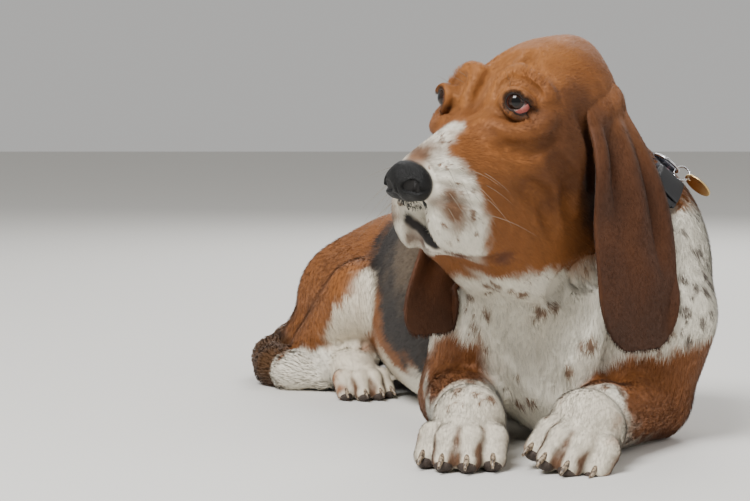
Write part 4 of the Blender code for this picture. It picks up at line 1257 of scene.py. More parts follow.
class Markings:
    """The brown, black and white of the coat, at any point of the hound."""

    base = srgb(132, 79, 34)
    white = srgb(229, 222, 204)
    # a lighter tan, used as painted light on the top of the skull
    painted_light_tan = srgb(150, 94, 44)

    def __init__(self, flesh: Sequence[Lump]) -> None:
        """Lays out the patches, from the lowest to the topmost, and the spots.

        Args:
            flesh: What the spots lie on.
        """
        self.patches = self._head() + self._body() + self._legs()
        self.spots = self._spots(flesh)

    @staticmethod
    def _patch(place: Place, colour: Colour, soft: float = 0.006, ragged: float = 0.006) -> tuple[Patch, Region]:
        """An empty patch and what adds shapes to it."""
        patch = Patch(colour, [], soft, ragged)
        return patch, Region(place, Zone.HEAD, (0, 0, -1), 0.01, patch.shape)

    def _head(self) -> list[Patch]:
        """The brown head with a white muzzle and throat, with painted light on the top of the skull and painted shade
        on the cheeks and jaw.
        """
        # painted light: the top of the skull is lighter, as where light falls from above
        top, region = self._patch(SKULL, self.painted_light_tan, 0.020, 0.010)
        region.ball((0.040, 0, 0.060), (0.085, 0.050, 0.032))
        # painted shade: the sides of the head are darker brown, as where they turn from the light
        cheek, region = self._patch(SKULL, srgb(94, 53, 20), 0.022, 0.010)
        for s in (1, -1):
            region.ball((0.034, s * 0.066, -0.020), (0.058, 0.036, 0.058), 0.02)
        # painted shade: the lower cheeks and jaw are darker still
        dark, region = self._patch(SKULL, srgb(68, 38, 15), 0.014, 0.006)
        for s in (1, -1):
            region.bar((0.010, s * 0.070, -0.030), (0.020, s * 0.062, -0.085), 0.020, 0.018)
        muzzle, region = self._patch(SKULL, self.white, 0.006, 0.005)
        region.ball((0.172, 0, 0.012), (0.040, 0.018, 0.036), 0.01)
        region.bar((0.132, 0, 0.034), (0.165, 0, 0.028), 0.009, 0.016, 0.01)
        for s in (1, -1):
            region.ball((0.182, s * 0.030, -0.040), (0.031, 0.034, 0.074), 0.01)
        bridge, region = self._patch(SKULL, srgb(112, 80, 56), 0.010, 0.006)
        region.ball((0.184, 0, 0.026), (0.022, 0.019, 0.013), 0.01)
        for s in (1, -1):
            region.ball((0.183, s * 0.034, -0.026), (0.012, 0.014, 0.024), 0.01)
        bed, region = self._patch(SKULL, srgb(20, 17, 16), 0.0012, 0.0)
        region.ball((0.2050, 0, 0.0005), (0.0232, 0.0298, 0.0228), 0.001)
        region.bar((0.208, 0, -0.018), (0.200, 0, -0.034), 0.0050, 0.0020, 0.001)
        return [top, cheek, dark, muzzle, bridge, *self._lips(), self._mole(), bed]

    def _lips(self) -> list[Patch]:
        """The brown-black edges of the lips, lids and chin, with the dark line and slit of the mouth: the lips' black
        skin and painted shade in the gap.
        """
        edge, region = self._patch(HANG, srgb(98, 58, 36), 0.004, 0.003)
        # the line and slit of the mouth: partly the lips' black skin, partly painted shade in the gap between the lips
        inner, dark = self._patch(HANG, srgb(22, 15, 13), 0.0022, 0.0010)
        for s in (1, -1):
            region.chain(mouth_line(s), (0.004, 0.008, 0.009, 0.007, 0.003), 0.004)
            dark.chain(mouth_line(s), (0.0056, 0.0074, 0.0060, 0.0032, 0.0014), 0.003)
        dark.chain(MOUTH_SLIT, (0.0028, 0.0044, 0.0060, 0.0068, 0.0066, 0.0050), 0.003)
        lids, rim = self._patch(WORLD, srgb(44, 29, 20), 0.0024, 0.0008)
        for s in (1, -1):
            eye = replace(rim, place=eye_place(s))
            line = [tuple(point) for point in lid_line(s, 20)]
            eye.chain([*line, line[0]], [0.0030] * 21, 0.002)
            eye.bar((0.0090, s * 0.0100, -0.0070), (0.0060, s * 0.0150, -0.0100), 0.0030, 0.0022, 0.004)
            eye.bar((0.0090, s * -0.0090, 0.0000), (0.0070, s * -0.0130, -0.0040), 0.0030, 0.0022, 0.004)
        return [edge, inner, lids]

    def _mole(self) -> Patch:
        """The dark mole over the left eye."""
        mole, region = self._patch(SKULL, srgb(40, 28, 22), 0.0010, 0.0002)
        region.ball((0.063, 0.013, 0.0545), (0.0026, 0.0026, 0.0036), 0.001)
        return mole

    def _body(self) -> list[Patch]:
        """White below, a black saddle and a tan rump."""
        throat, region = self._patch(WORLD, self.white, 0.008, 0.006)
        region.ball((0.130, 0.090, 0.100), (0.120, 0.090, 0.082), 0.02)
        chest, region = self._patch(WORLD, self.white, 0.008, 0.010)
        region.ball((0.180, 0.150, 0.080), (0.150, 0.100, 0.108), 0.03)
        region.ball((0.330, 0.190, 0.120), (0.080, 0.110, 0.125), 0.03)
        belly, region = self._patch(TRUNK, self.white, 0.010, 0.012)
        region.ball((0.230, 0, 0.010), (0.260, 0.150, 0.058), 0.03)
        saddle, region = self._patch(TRUNK, srgb(40, 34, 30), 0.014, 0.012)
        region.ball((0.250, 0, 0.175), (0.190, 0.150, 0.100), 0.03)
        region.ball((0.290, -0.110, 0.120), (0.110, 0.060, 0.070), 0.03)
        grizzle, region = self._patch(TRUNK, srgb(92, 78, 62), 0.030, 0.020)
        region.ball((0.300, -0.110, 0.190), (0.120, 0.060, 0.060), 0.03)
        return [throat, chest, belly, saddle, grizzle]

    def _legs(self) -> list[Patch]:
        """Brown upper legs, white feet with painted shade between the toes, and a white tip to the tail."""
        arms, region = self._patch(WORLD, srgb(122, 72, 32), 0.008, 0.006)
        region.bar((0.300, 0.190, 0.050), (0.232, 0.108, 0.048), 0.052, 0.040, 0.01)
        region.bar((0.312, 0.190, 0.100), (0.292, 0.150, 0.060), 0.030, 0.040, 0.01)
        region.ball((0.076, 0.150, 0.075), (0.034, 0.075, 0.040), 0.01)
        mark, region = self._patch(WORLD, self.white, 0.006, 0.006)
        region.ball((0.227, 0.060, 0.066), (0.016, 0.030, 0.020), 0.01)
        paws, region = self._patch(WORLD, srgb(214, 204, 184), 0.008, 0.006)
        region.bar((0.196, 0.050, 0.036), (0.160, -0.020, 0.020), 0.040, 0.050, 0.01)
        region.bar((0.089, 0.080, 0.040), (0.075, 0.000, 0.020), 0.042, 0.052, 0.01)
        hind, region = self._patch(TRUNK, srgb(216, 204, 182), 0.008, 0.008)
        for s in (1, -1):
            region.bar((0.128, s * 0.120, 0.026), (0.180, s * 0.118, 0.018), 0.034, 0.040, 0.01)
            region.bar((0.128, s * 0.108, 0.120), (0.100, s * 0.140, 0.040), 0.024, 0.028, 0.01)
        # painted shade in the gaps between the toes
        toe_gap_shade, region = self._patch(WORLD, srgb(104, 74, 52), 0.003, 0.002)
        for paw in PAWS:
            toes = paw.toes()
            between = replace(region, place=paw.place())
            for (knuckle, tip, _way), (other_knuckle, other_tip, _other) in zip(toes, toes[1:]):
                start = (knuckle + other_knuckle) / 2 + Vector((0.002, 0, 0.010)) * paw.size
                end = (tip + other_tip) / 2 + Vector((0.008, 0, 0.008)) * paw.size
                toe_end = (tip + other_tip) / 2 + Vector((0.010, 0, -0.004)) * paw.size
                line = (tuple(start), tuple(end), tuple(toe_end))
                between.chain(line, (0.0022 * paw.size, 0.0046 * paw.size, 0.0056 * paw.size), 0.002)
        tail, region = self._patch(WORLD, srgb(84, 56, 30), 0.012, 0.006)
        region.bar((-0.120, 0.720, 0.030), (-0.125, 0.590, 0.024), 0.032, 0.032, 0.01)
        tip, region = self._patch(WORLD, srgb(226, 218, 200), 0.005, 0.005)
        region.bar((-0.092, 0.556, 0.020), (-0.040, 0.535, 0.016), 0.030, 0.034, 0.01)
        return [arms, mark, paws, hind, toe_gap_shade, tail, tip]

    @staticmethod
    def _spots(flesh: Sequence[Lump]) -> list[tuple[np.ndarray, float, np.ndarray]]:
        """The place, the size and the colour of each spot on the white."""
        random = np.random.default_rng(11)
        brown, dark = (np.array(colour[:3]) for colour in (srgb(104, 66, 38), srgb(62, 46, 38)))
        groups = (
            (WORLD, 1000, (0.06, 0.04, 0.0), (0.30, 0.22, 0.20), (0.0022, 0.0070), brown),
            (WORLD, 900, (0.28, 0.08, 0.06), (0.38, 0.34, 0.26), (0.0024, 0.0060), dark),
            (SKULL, 600, (0.145, -0.055, -0.110), (0.205, 0.055, 0.035), (0.0010, 0.0032), brown),
        )
        spots = []
        for place, count, low, high, sizes, colour in groups:
            local = random.uniform(low, high, (count, 3))
            points = local @ np.array(place.turn).T + np.array(place.origin)
            size = sizes[0] + (sizes[1] - sizes[0]) * random.random(count) ** 2.2
            depth, slope = depth_and_slope(points, flesh)
            on_skin = points - slope * depth[:, None]
            spots += [(on_skin[k], size[k], colour) for k in np.flatnonzero(np.abs(depth) < 0.012)]
        return spots

    def colours(self, points: np.ndarray) -> np.ndarray:
        """The colour of the coat.

        Args:
            points: Points on the hound, one a row.

        Returns:
            A linear colour for each.
        """
        made = np.tile(np.array(self.base[:3]), (len(points), 1))
        made *= 1.0 + 0.10 * wander(points, 0.080, 3)[:, None]
        for seed, patch in enumerate(self.patches):
            share = patch.share(points, seed + 20)[:, None]
            made = made * (1 - share) + np.array(patch.colour[:3]) * share
        pale = eased((made.mean(axis=1) - 0.35) / 0.15)
        on_white = np.flatnonzero(pale)
        speck, tone = self._speckle(points[on_white])
        speck = (speck * pale[on_white])[:, None]
        made[on_white] = made[on_white] * (1 - speck) + tone * speck
        return made * (1.0 + 0.05 * wander(points, 0.016, 5)[:, None])

    def _speckle(self, points: np.ndarray) -> tuple[np.ndarray, np.ndarray]:
        """How much of a spot is at each point, and of which colour."""
        found, tone = np.zeros(len(points)), np.zeros((len(points), 3))
        warped = points + 0.0012 * np.stack([wander(points, 0.010, seed) for seed in (7, 8, 9)], axis=1)
        order = np.argsort(warped[:, 0])
        across = warped[order, 0]
        for place, size, colour in self.spots:
            first, last = np.searchsorted(across, (place[0] - size * 1.5, place[0] + size * 1.5))
            near = order[first:last]
            own = eased((1.3 - np.linalg.norm(warped[near] - place, axis=1) / size) / 0.6) * 0.9
            wins = own > found[near]
            found[near[wins]] = own[wins]
            tone[near[wins]] = colour
        return found, tone


@dataclass
class Skin:
    """The one skin of the head, neck, trunk, legs and tail."""

    anatomy: Anatomy
    markings: Markings
    voxel: float = 0.0054
    swell: float = 0.0004
    under_coat: float = 0.15
    floor_clear: float = 0.0006
    nodes: tuple[str, ...] = (
        "head", "neck", "torso", "foreleg_left", "foreleg_right", "hindleg_left", "hindleg_right", "tail",
        "forepaw_left", "forepaw_right", "hindpaw_left", "hindpaw_right",
    )
    field: list[Lump] = field(default_factory=list)

    def build(self, shift: Vector) -> bpy.types.Object:
        """Makes the skin in the hound's frame.

        Args:
            shift: How far the solids' frame is from the hound's.

        Returns:
            The skin, with its colours and its UV map.
        """
        coarse = self.anatomy.lumps + self.anatomy.tail()
        self.field = self.anatomy.lumps + self.anatomy.details() + self.anatomy.tail()
        skin = self._block(shift)
        settle(skin.data, coarse, 4)
        relax(skin, 2)
        settle(skin.data, coarse, 2)
        self._refine(skin)
        for share in (0.5, 0.3):
            relax(skin, 1, share)
            settle(skin.data, self.field, 2)
        self._sink(skin.data)
        points = points_of(skin.data)
        for side in (1, -1):
            self._open_lids(points, side)
        points[:, 2] = np.maximum(points[:, 2], self.floor_clear)
        set_points(skin.data, points)
        set_colours(skin.data, self.markings.colours(points))
        smooth_shade(skin.data)
        unwrap(skin)
        return skin

    def _block(self, shift: Vector) -> bpy.types.Object:
        """Copies of the solids, merged to one even mesh."""
        bm = bmesh.new()
        for name in (*self.nodes, "nose", "eye_left", "eye_right"):
            bm.from_mesh(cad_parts[name].data)
        bmesh.ops.remove_doubles(bm, verts=bm.verts, dist=1e-5)
        bm.normal_update()
        for vert, normal in zip(bm.verts, [v.normal.copy() for v in bm.verts]):
            vert.co += normal * self.swell - shift
        skin = object_from("skin", bm)
        remesh = skin.modifiers.new("merge", "REMESH")
        remesh.mode = "VOXEL"
        remesh.voxel_size = self.voxel
        apply_modifiers(skin)
        return skin

    def _refine(self, skin: bpy.types.Object) -> None:
        """Makes the faces smaller on the head and the feet, and smallest round the eyes and mouth."""
        middle = SKULL.point(0.060, 0, -0.020)
        head = [Ball(SOFT, False, Vector(), 0, Zone.HEAD, Place(middle, SKULL.turn), (0.170, 0.100, 0.120))]
        eyes = [Ball(SOFT, False, Vector(), 0, Zone.HEAD, eye_place(s), (0.016, 0.018, 0.018)) for s in (1, -1)]
        muzzle = SKULL.point(0.140, 0, -0.030)
        face = [Ball(SOFT, False, Vector(), 0, Zone.HEAD, Place(muzzle, SKULL.turn), (0.075, 0.045, 0.060))]
        toes: list[Lump] = []
        for paw in PAWS:
            middle = paw.place().point(0.040 * paw.size, 0, 0.015)
            toes.append(Ball(SOFT, False, Vector(), 0, Zone.HEAD, Place(middle, paw.place().turn), (0.045, 0.045, 0.03)))
        refine(skin, [*head, *toes], 0.0)
        refine(skin, [*eyes, *face], 0.004)
        settle(skin.data, self.field, 3)
        refine(skin, eyes, 0.002)
        settle(skin.data, self.field, 4)

    @staticmethod
    def _open_lids(points: np.ndarray, side: int) -> None:
        """Draws the skin in the opening of the lids under the eyeball."""
        place = eye_place(side)
        local = place.inside(points)
        near = np.flatnonzero((np.linalg.norm(local, axis=1) < 0.024) & (local[:, 0] > 0.001))
        ways = unit(local[near])
        share = eased(0.5 - lid_margin(ways * LID_EDGE, side) / 0.0012)[:, None]
        moved = local[near] * (1 - share) + ways * (EYE_RADIUS - 0.0025) * share
        points[near] = moved @ np.array(place.turn).T + np.array(place.origin)

    def _sink(self, mesh: bpy.types.Mesh) -> None:
        """Lays the skin under the surface by a share of the coat's length."""
        _lie, hair, _zone = coat_of(points_of(mesh), self.field)
        settle(mesh, self.field, 2, sunk=self.under_coat * hair)


@dataclass(frozen=True)
class Roots:
    """Where tufts grow, a row for each."""

    points: np.ndarray
    normals: np.ndarray
    lies: np.ndarray
    lengths: np.ndarray
    uvs: np.ndarray

    def pick(self, rows: np.ndarray) -> "Roots":
        """Some of the roots."""
        return Roots(self.points[rows], self.normals[rows], self.lies[rows], self.lengths[rows], self.uvs[rows])


def unit(rows: np.ndarray) -> np.ndarray:
    """Each row at length 1."""
    return rows / np.maximum(np.linalg.norm(rows, axis=1), 1e-9)[:, None]


@dataclass(frozen=True)
class Surface:
    """A skin as tufts see it: its triangles, and at each point the lie and length of the hair."""

    points: np.ndarray
    normals: np.ndarray
    lies: np.ndarray
    lengths: np.ndarray
    corners: np.ndarray
    uvs: np.ndarray

    @classmethod
    def of(cls, mesh: bpy.types.Mesh, lies: np.ndarray, lengths: np.ndarray) -> "Surface":
        """Reads a mesh.

        Args:
            mesh: The skin.
            lies: The way that the hair lies at each of its points.
            lengths: How long it is there.

        Returns:
            The surface.
        """
        mesh.calc_loop_triangles()
        count = len(mesh.loop_triangles)
        corners, loops = np.empty(count * 3, np.int32), np.empty(count * 3, np.int32)
        mesh.loop_triangles.foreach_get("vertices", corners)
        mesh.loop_triangles.foreach_get("loops", loops)
        uvs = np.empty(len(mesh.loops) * 2)
        mesh.uv_layers["OFBake"].data.foreach_get("uv", uvs)
        normals = np.empty(len(mesh.vertices) * 3)
        mesh.vertices.foreach_get("normal", normals)
        return cls(points_of(mesh), normals.reshape(-1, 3), lies, lengths, corners.reshape(-1, 3),
                   uvs.reshape(-1, 2)[loops.reshape(-1, 3)])

    def areas(self) -> np.ndarray:
        """The area of each triangle."""
        a, b, c = (self.points[self.corners[:, k]] for k in range(3))
        return np.linalg.norm(np.cross(b - a, c - a), axis=1) / 2

    def scatter(self, weight: np.ndarray, count: int, seed: int) -> Roots:
        """Random roots.

        Args:
            weight: How likely each triangle is.
            count: How many roots.
            seed: Which of many random sets.

        Returns:
            The roots.
        """
        random = np.random.default_rng(seed)
        picked = random.choice(len(self.corners), size=count, p=weight / weight.sum())
        share = random.random((count, 2))
        flip = share.sum(axis=1) > 1
        share[flip] = 1 - share[flip]
        parts = np.stack((1 - share.sum(axis=1), share[:, 0], share[:, 1]), axis=1)
        corners = self.corners[picked]

        def blend(rows: np.ndarray) -> np.ndarray:
            """What the corners have, blended at the roots."""
            return np.einsum("ij,ij...->i...", parts, rows[corners])

        uvs = np.einsum("ij,ijk->ik", parts, self.uvs[picked])
        return Roots(blend(self.points), unit(blend(self.normals)), blend(self.lies), blend(self.lengths), uvs)


@dataclass(frozen=True)
class Fur:
    """Solid tufts that lie on a skin, each a thin closed wedge, straight or bent once."""

    bent: bool = True
    seed: int = 4
    lift: float = 0.10
    width: float = 0.00034
    width_by_length: float = 0.055
    flatness: float = 0.45
    patch: float = 0.003
    contrast: float = 0.12
    roundness: float = 0.35
    unevenness: float = 0.10
    most_faces: int = 190000

    def faces_each(self) -> int:
        """How many triangles one tuft has."""
        return 10 if self.bent else 4

    def grow(
        self, name: str, roots: Roots, colours: np.ndarray,
        height: Callable[[np.ndarray], tuple[np.ndarray, np.ndarray]] | None = None,
    ) -> bpy.types.Object:
        """Makes one mesh of tufts.

        Args:
            name: The mesh's name.
            roots: Where they grow.
            colours: The colour of the coat at each root.
            height: What gives the depth and slope of the flesh, if the tips are to follow it.

        Returns:
            The tufts, with their colours, which carry painted shade at the root and underside, and their places on the
            UV map.
        """
        random = np.random.default_rng(self.seed + len(roots.points))
        count = len(roots.points)
        along = unit(roots.lies) + random.normal(size=(count, 3)) * 0.15
        along -= (along * roots.normals).sum(axis=1)[:, None] * roots.normals
        along = unit(along)
        length = roots.lengths * random.uniform(0.72, 1.20, count)
        wide = (self.width + self.width_by_length * length) * random.uniform(0.8, 1.25, count)
        rise = self.lift * random.uniform(0.5, 1.6, count)
        base = roots.points - roots.normals * (0.08 * length)[:, None]
        tip = base + (along + roots.normals * (rise + 0.08)[:, None]) * length[:, None]
        half = np.cross(roots.normals, along) * wide[:, None] / 2
        thick = roots.normals * (wide * self.flatness)[:, None]
        if height is not None:
            tip = self._follow(tip, height, length * rise * 0.8)
        if self.bent:
            middle = base + (along * 0.5 + roots.normals * (rise * 0.9 + 0.10)[:, None]) * length[:, None]
            if height is not None:
                middle = self._follow(middle, height, length * (0.03 + rise * 0.7))
            corners = (base - half, base + half, base - thick, middle - half * 0.9, middle + half * 0.9,
                       middle - thick * 0.8, tip)
            faces = ((0, 1, 2), (0, 4, 1), (0, 3, 4), (1, 5, 2), (1, 4, 5), (2, 3, 0), (2, 5, 3),
                     (3, 6, 4), (4, 6, 5), (5, 6, 3))
            # painted shade: each corner is darker at the root, deep in the coat, and on the underside, and lighter at
            # the tip
            painted_shading = (0.82, 0.82, 0.76, 0.99, 0.99, 0.90, 1.05)
            sides = (-1.0, 1.0, 0.0, -1.0, 1.0, 0.0, 0.0)
            spots = ((0.0, 0.0), (1.0, 0.0), (0.5, 0.1), (0.05, 0.5), (0.95, 0.5), (0.5, 0.6), (0.5, 1.0))
        else:
            corners = (base - half, base + half, base - thick, tip)
            faces = ((0, 1, 2), (0, 3, 1), (1, 3, 2), (2, 3, 0))
            # painted shade, as for bent tufts: darker at the root and underside, lighter at the tip
            painted_shading = (0.86, 0.86, 0.80, 1.05)
            sides = (-1.0, 1.0, 0.0, 0.0)
            spots = ((0.0, 0.0), (1.0, 0.0), (0.5, 0.2), (0.5, 1.0))
        points = np.stack(corners, axis=1)
        points[:, :, 2] = np.maximum(points[:, :, 2], 0.0003)
        sides = np.array(sides)[None, :, None] * unit(half)[:, None, :] * self.roundness
        facing = roots.normals + random.normal(size=(count, 3)) * self.unevenness
        facing = unit((facing[:, None, :] + sides).reshape(-1, 3))
        shade = random.uniform(1 - self.contrast, 1 + self.contrast, count)[:, None, None]
        shades = colours[:, None, :] * shade * np.array(painted_shading)[None, :, None]
        uvs = roots.uvs[:, None, :] + (np.array(spots) - 0.5)[None] * self.patch
        return self._mesh(name, points, np.array(faces), shades, uvs, facing)

    @staticmethod
    def _follow(points: np.ndarray, height: Callable, wanted: np.ndarray) -> np.ndarray:
        """Moves points to a wanted height over the flesh."""
        depth, slope = height(points)
        size = np.maximum((slope**2).sum(axis=1), 0.25)
        return points + slope * np.clip((wanted - depth) / size, -0.006, 0.006)[:, None]

    @staticmethod
    def _mesh(
        name: str, points: np.ndarray, faces: np.ndarray, colours: np.ndarray, uvs: np.ndarray, facing: np.ndarray
    ) -> bpy.types.Object:
        """A mesh of many copies of one small solid, shaded as the skin under them faces."""
        count, corners = points.shape[0], points.shape[1]
        indices = (faces[None] + (np.arange(count) * corners)[:, None, None]).reshape(-1, 3)
        mesh = bpy.data.meshes.new(name)
        mesh.vertices.add(count * corners)
        mesh.vertices.foreach_set("co", points.ravel())
        mesh.loops.add(indices.size)
        mesh.loops.foreach_set("vertex_index", indices.ravel().astype(np.int32))
        mesh.polygons.add(len(indices))
        mesh.polygons.foreach_set("loop_start", np.arange(0, indices.size, 3, dtype=np.int32))
        mesh.update(calc_edges=True)
        mesh.uv_layers.new(name="OFBake")
        flat = uvs.reshape(-1, 2)[indices.ravel()]
        mesh.uv_layers["OFBake"].data.foreach_set("uv", np.clip(flat, 0.0, 1.0).ravel())
        set_colours(mesh, np.clip(colours.reshape(-1, 3), 0.0, 1.0))
        smooth_shade(mesh)
        mesh.normals_split_custom_set_from_vertices(facing)
        return object_from(name, mesh)


@dataclass
class BodyCoat:
    """The coat of the skin, in one or more pieces for each zone."""

    skin: bpy.types.Object
    flesh: list[Lump]
    markings: Markings
    bare: list[Lump]
    plan: dict[Zone, tuple[int, bool]] = field(default_factory=lambda: {
        Zone.HEAD: (92000, False),
        Zone.NECK: (16000, True),
        Zone.TORSO: (66000, False),
        Zone.FORELEGS: (44000, False),
        Zone.HINDLEGS: (34000, False),
        Zone.TAIL: (5500, True),
    })

    def build(self) -> list[bpy.types.Object]:
        """Grows the coat.

        Returns:
            Its pieces, in the hound's frame.
        """
        lies, hair, zones = coat_of(points_of(self.skin.data), self.flesh)
        surface = Surface.of(self.skin.data, lies, hair)
        first = surface.corners[:, 0]
        resting = (surface.points[first, 2] < 0.003) & (surface.normals[first, 2] < -0.6)
        weight = surface.areas() * (0.012 / np.clip(hair[first], 0.003, 0.02)) ** 1.3 * ~resting
        pieces = []
        for zone, (count, bent) in self.plan.items():
            inside = zones[first] == list(Zone).index(zone)
            roots = surface.scatter(weight * inside, count, len(zone.value))
            kept = (flesh_depth(roots.points, self.bare) > 0.0008) & (roots.lengths > 0.0016)
            pieces += self._zone(zone, roots.pick(np.flatnonzero(kept)), Fur(bent))
        return pieces

    def _zone(self, zone: Zone, roots: Roots, fur: Fur) -> list[bpy.types.Object]:
        """The pieces of one zone."""
        colours = self.markings.colours(roots.points)
        low, high = roots.points.min(axis=0) - 0.03, roots.points.max(axis=0) + 0.03
        near = [lump for lump in self.flesh if reaches(lump, low, high)]
        most = fur.most_faces // fur.faces_each()
        pieces = []
        for number, part in enumerate(np.array_split(np.arange(len(roots.points)), math.ceil(len(roots.points) / most)), 1):
            name = f"coat_{zone.value}_{number}"
            pieces.append(fur.grow(name, roots.pick(part), colours[part], lambda p: depth_and_slope(p, near)))
        return pieces


def reaches(lump: Lump, low: np.ndarray, high: np.ndarray) -> bool:
    """Whether a lump comes near a box."""
    middle, reach = lump.bound()
    return bool(((np.array(middle) + reach + 0.03 > low) & (np.array(middle) - reach - 0.03 < high)).all())


@dataclass
class Ear:
    """One long ear: a thin leather sheet with folds that hangs from the skull."""

    name: str
    side: int
    route: tuple[Triple, ...]
    heading: tuple[float, float]
    folds: tuple[tuple[float, float, float, float, float], ...]
    half_width: float = 0.0550
    thickness: float = 0.0040
    grown_on: float = 0.05
    grown_front: float = 0.14
    rows: int = 110
    columns: int = 60
    hair: float = 0.0062
    tufts: int = 30000

    def _centre(self, s: float) -> Vector:
        """The middle of the ear at s, from 0 at the root to 1 at the tip."""
        a, b, c, d = (Vector(p) for p in self.route)
        m = 1.0 - s
        return a * m**3 + b * 3 * m * m * s + c * 3 * m * s * s + d * s**3

    def _width(self, s: float) -> float:
        """Half the ear's width at s: narrow at the root, broad low down, with a round tip."""
        broad = 0.44 + 0.56 * math.sin(min(s / 0.72, 1.0) * math.pi / 2)
        tip = max(0.0, 1.0 - (max(s - 0.78, 0.0) / 0.22) ** 2.4) ** 0.5
        return self.half_width * broad * tip

    def _point(self, s: float, t: float) -> Vector:
        """The place on the ear at s down it and t across it, from -1 at the front edge to 1 at the back."""
        turn = math.radians(self.heading[0] + (self.heading[1] - self.heading[0]) * s)
        across = Vector((math.cos(turn), math.sin(turn), 0.0))
        outward = Vector((-across.y, across.x, 0.0)) * self.side
        lift = sum(size * hump(s, s0, s1) * hump(t, t0, t1) for size, s0, s1, t0, t1 in self.folds)
        cup = -0.010 * (1.0 - s) ** 2 * (t * t)
        return self._centre(s) + across * (t * self._width(s)) + outward * (lift + cup)

    def build(self, flesh: list[Lump], markings: Markings) -> bpy.types.Object:
        """Makes the ear's leather.

        Args:
            flesh: What the ear lies on.
            markings: The colours of the coat.

        Returns:
            The ear, in the hound's frame.
        """
        bm = bmesh.new()
        bmesh.ops.create_grid(bm, x_segments=self.columns, y_segments=self.rows, size=1.0)
        free = []
        for vert in bm.verts:
            down = 0.985 * math.sin((1.0 - vert.co.y) * math.pi / 4) ** 0.9
            free.append(down - self.grown_on - self.grown_front * (1.0 - vert.co.x) / 2)
            vert.co = self._point(down, vert.co.x)
        bmesh.ops.recalc_face_normals(bm, faces=bm.faces)
        ear = object_from(f"ear_leather_{self.name}", bm)
        self._drape(ear.data, flesh, np.array(free))
        relax(ear, 5)
        self._drape(ear.data, flesh, np.array(free))
        thick = ear.modifiers.new("leather", "SOLIDIFY")
        thick.thickness = self.thickness
        thick.offset = 0.0
        apply_modifiers(ear)
        self._round_rim(ear)
        set_colours(ear.data, self._colours(points_of(ear.data), markings))
        smooth_shade(ear.data)
        unwrap(ear)
        return ear

    @staticmethod
    def _round_rim(ear: bpy.types.Object) -> None:
        """Rounds the rim of the sheet."""
        bm = bmesh.new()
        bm.from_mesh(ear.data)
        sharp = {v for e in bm.edges if len(e.link_faces) == 2 and e.calc_face_angle(0.0) > 1.0 for v in e.verts}
        for _ in range(3):
            bmesh.ops.smooth_vert(bm, verts=list(sharp), factor=0.4, use_axis_x=True, use_axis_y=True, use_axis_z=True)
        bm.to_mesh(ear.data)
        bm.free()

    def _drape(self, mesh: bpy.types.Mesh, flesh: list[Lump], free: np.ndarray) -> None:
        """Pushes the sheet out of the flesh, and draws its root under the skin.

        Args:
            mesh: The sheet.
            flesh: What it lies on.
            free: How far each point is past the grown-on root, as a share of the ear's length.
        """
        points = points_of(mesh)
        clear = -0.0045 + 0.0082 * eased((free + 0.02) / 0.12)
        least = np.where(free < 0.02, -0.03, 0.0)
        for _ in range(4):
            depth, slope = depth_and_slope(points, flesh)
            size = np.maximum((slope**2).sum(axis=1), 0.2)
            points += slope * np.clip((clear - depth) / size, least, 0.02)[:, None]
        set_points(mesh, points)

    def _colours(self, points: np.ndarray, markings: Markings) -> np.ndarray:
        """Dark brown, darker low down as painted shade, and at the root as the skull."""
        colours = np.tile(np.array(srgb(73, 38, 11)[:3]), (len(points), 1))
        # painted shade: the lower part of the ear is darker, as it hangs in its own shadow
        low = eased((0.19 - points[:, 2]) / 0.09)[:, None]
        colours = colours * (1 - low) + np.array(srgb(60, 31, 9)[:3]) * low
        colours *= 1.0 + 0.14 * wander(points, 0.045, 31)[:, None]
        top = eased((points[:, 2] - 0.265) / 0.085)[:, None]
        return colours * (1 - top) + markings.colours(points) * top

    def coat(self, ear: bpy.types.Object, markings: Markings) -> bpy.types.Object:
        """The hair on the ear."""
        points = points_of(ear.data)
        lies = np.tile(np.array((0.0, 0.0, -1.0)), (len(points), 1))
        lies += 0.25 * np.stack([wander(points, 0.05, seed) for seed in (41, 42, 43)], axis=1)
        surface = Surface.of(ear.data, lies, np.full(len(points), self.hair))
        roots = surface.scatter(surface.areas(), self.tufts, 30 + self.side)
        fur = Fur(bent=False, seed=30 + self.side, lift=0.07)
        return fur.grow(f"coat_ear_{self.name}", roots, self._colours(roots.points, markings))


def hump(x: float, middle: float, reach: float) -> float:
    """A smooth hump of height 1 at middle that ends at reach to either side."""
    u = min(abs(x - middle) / reach, 1.0)
    return (1.0 - u * u) ** 2


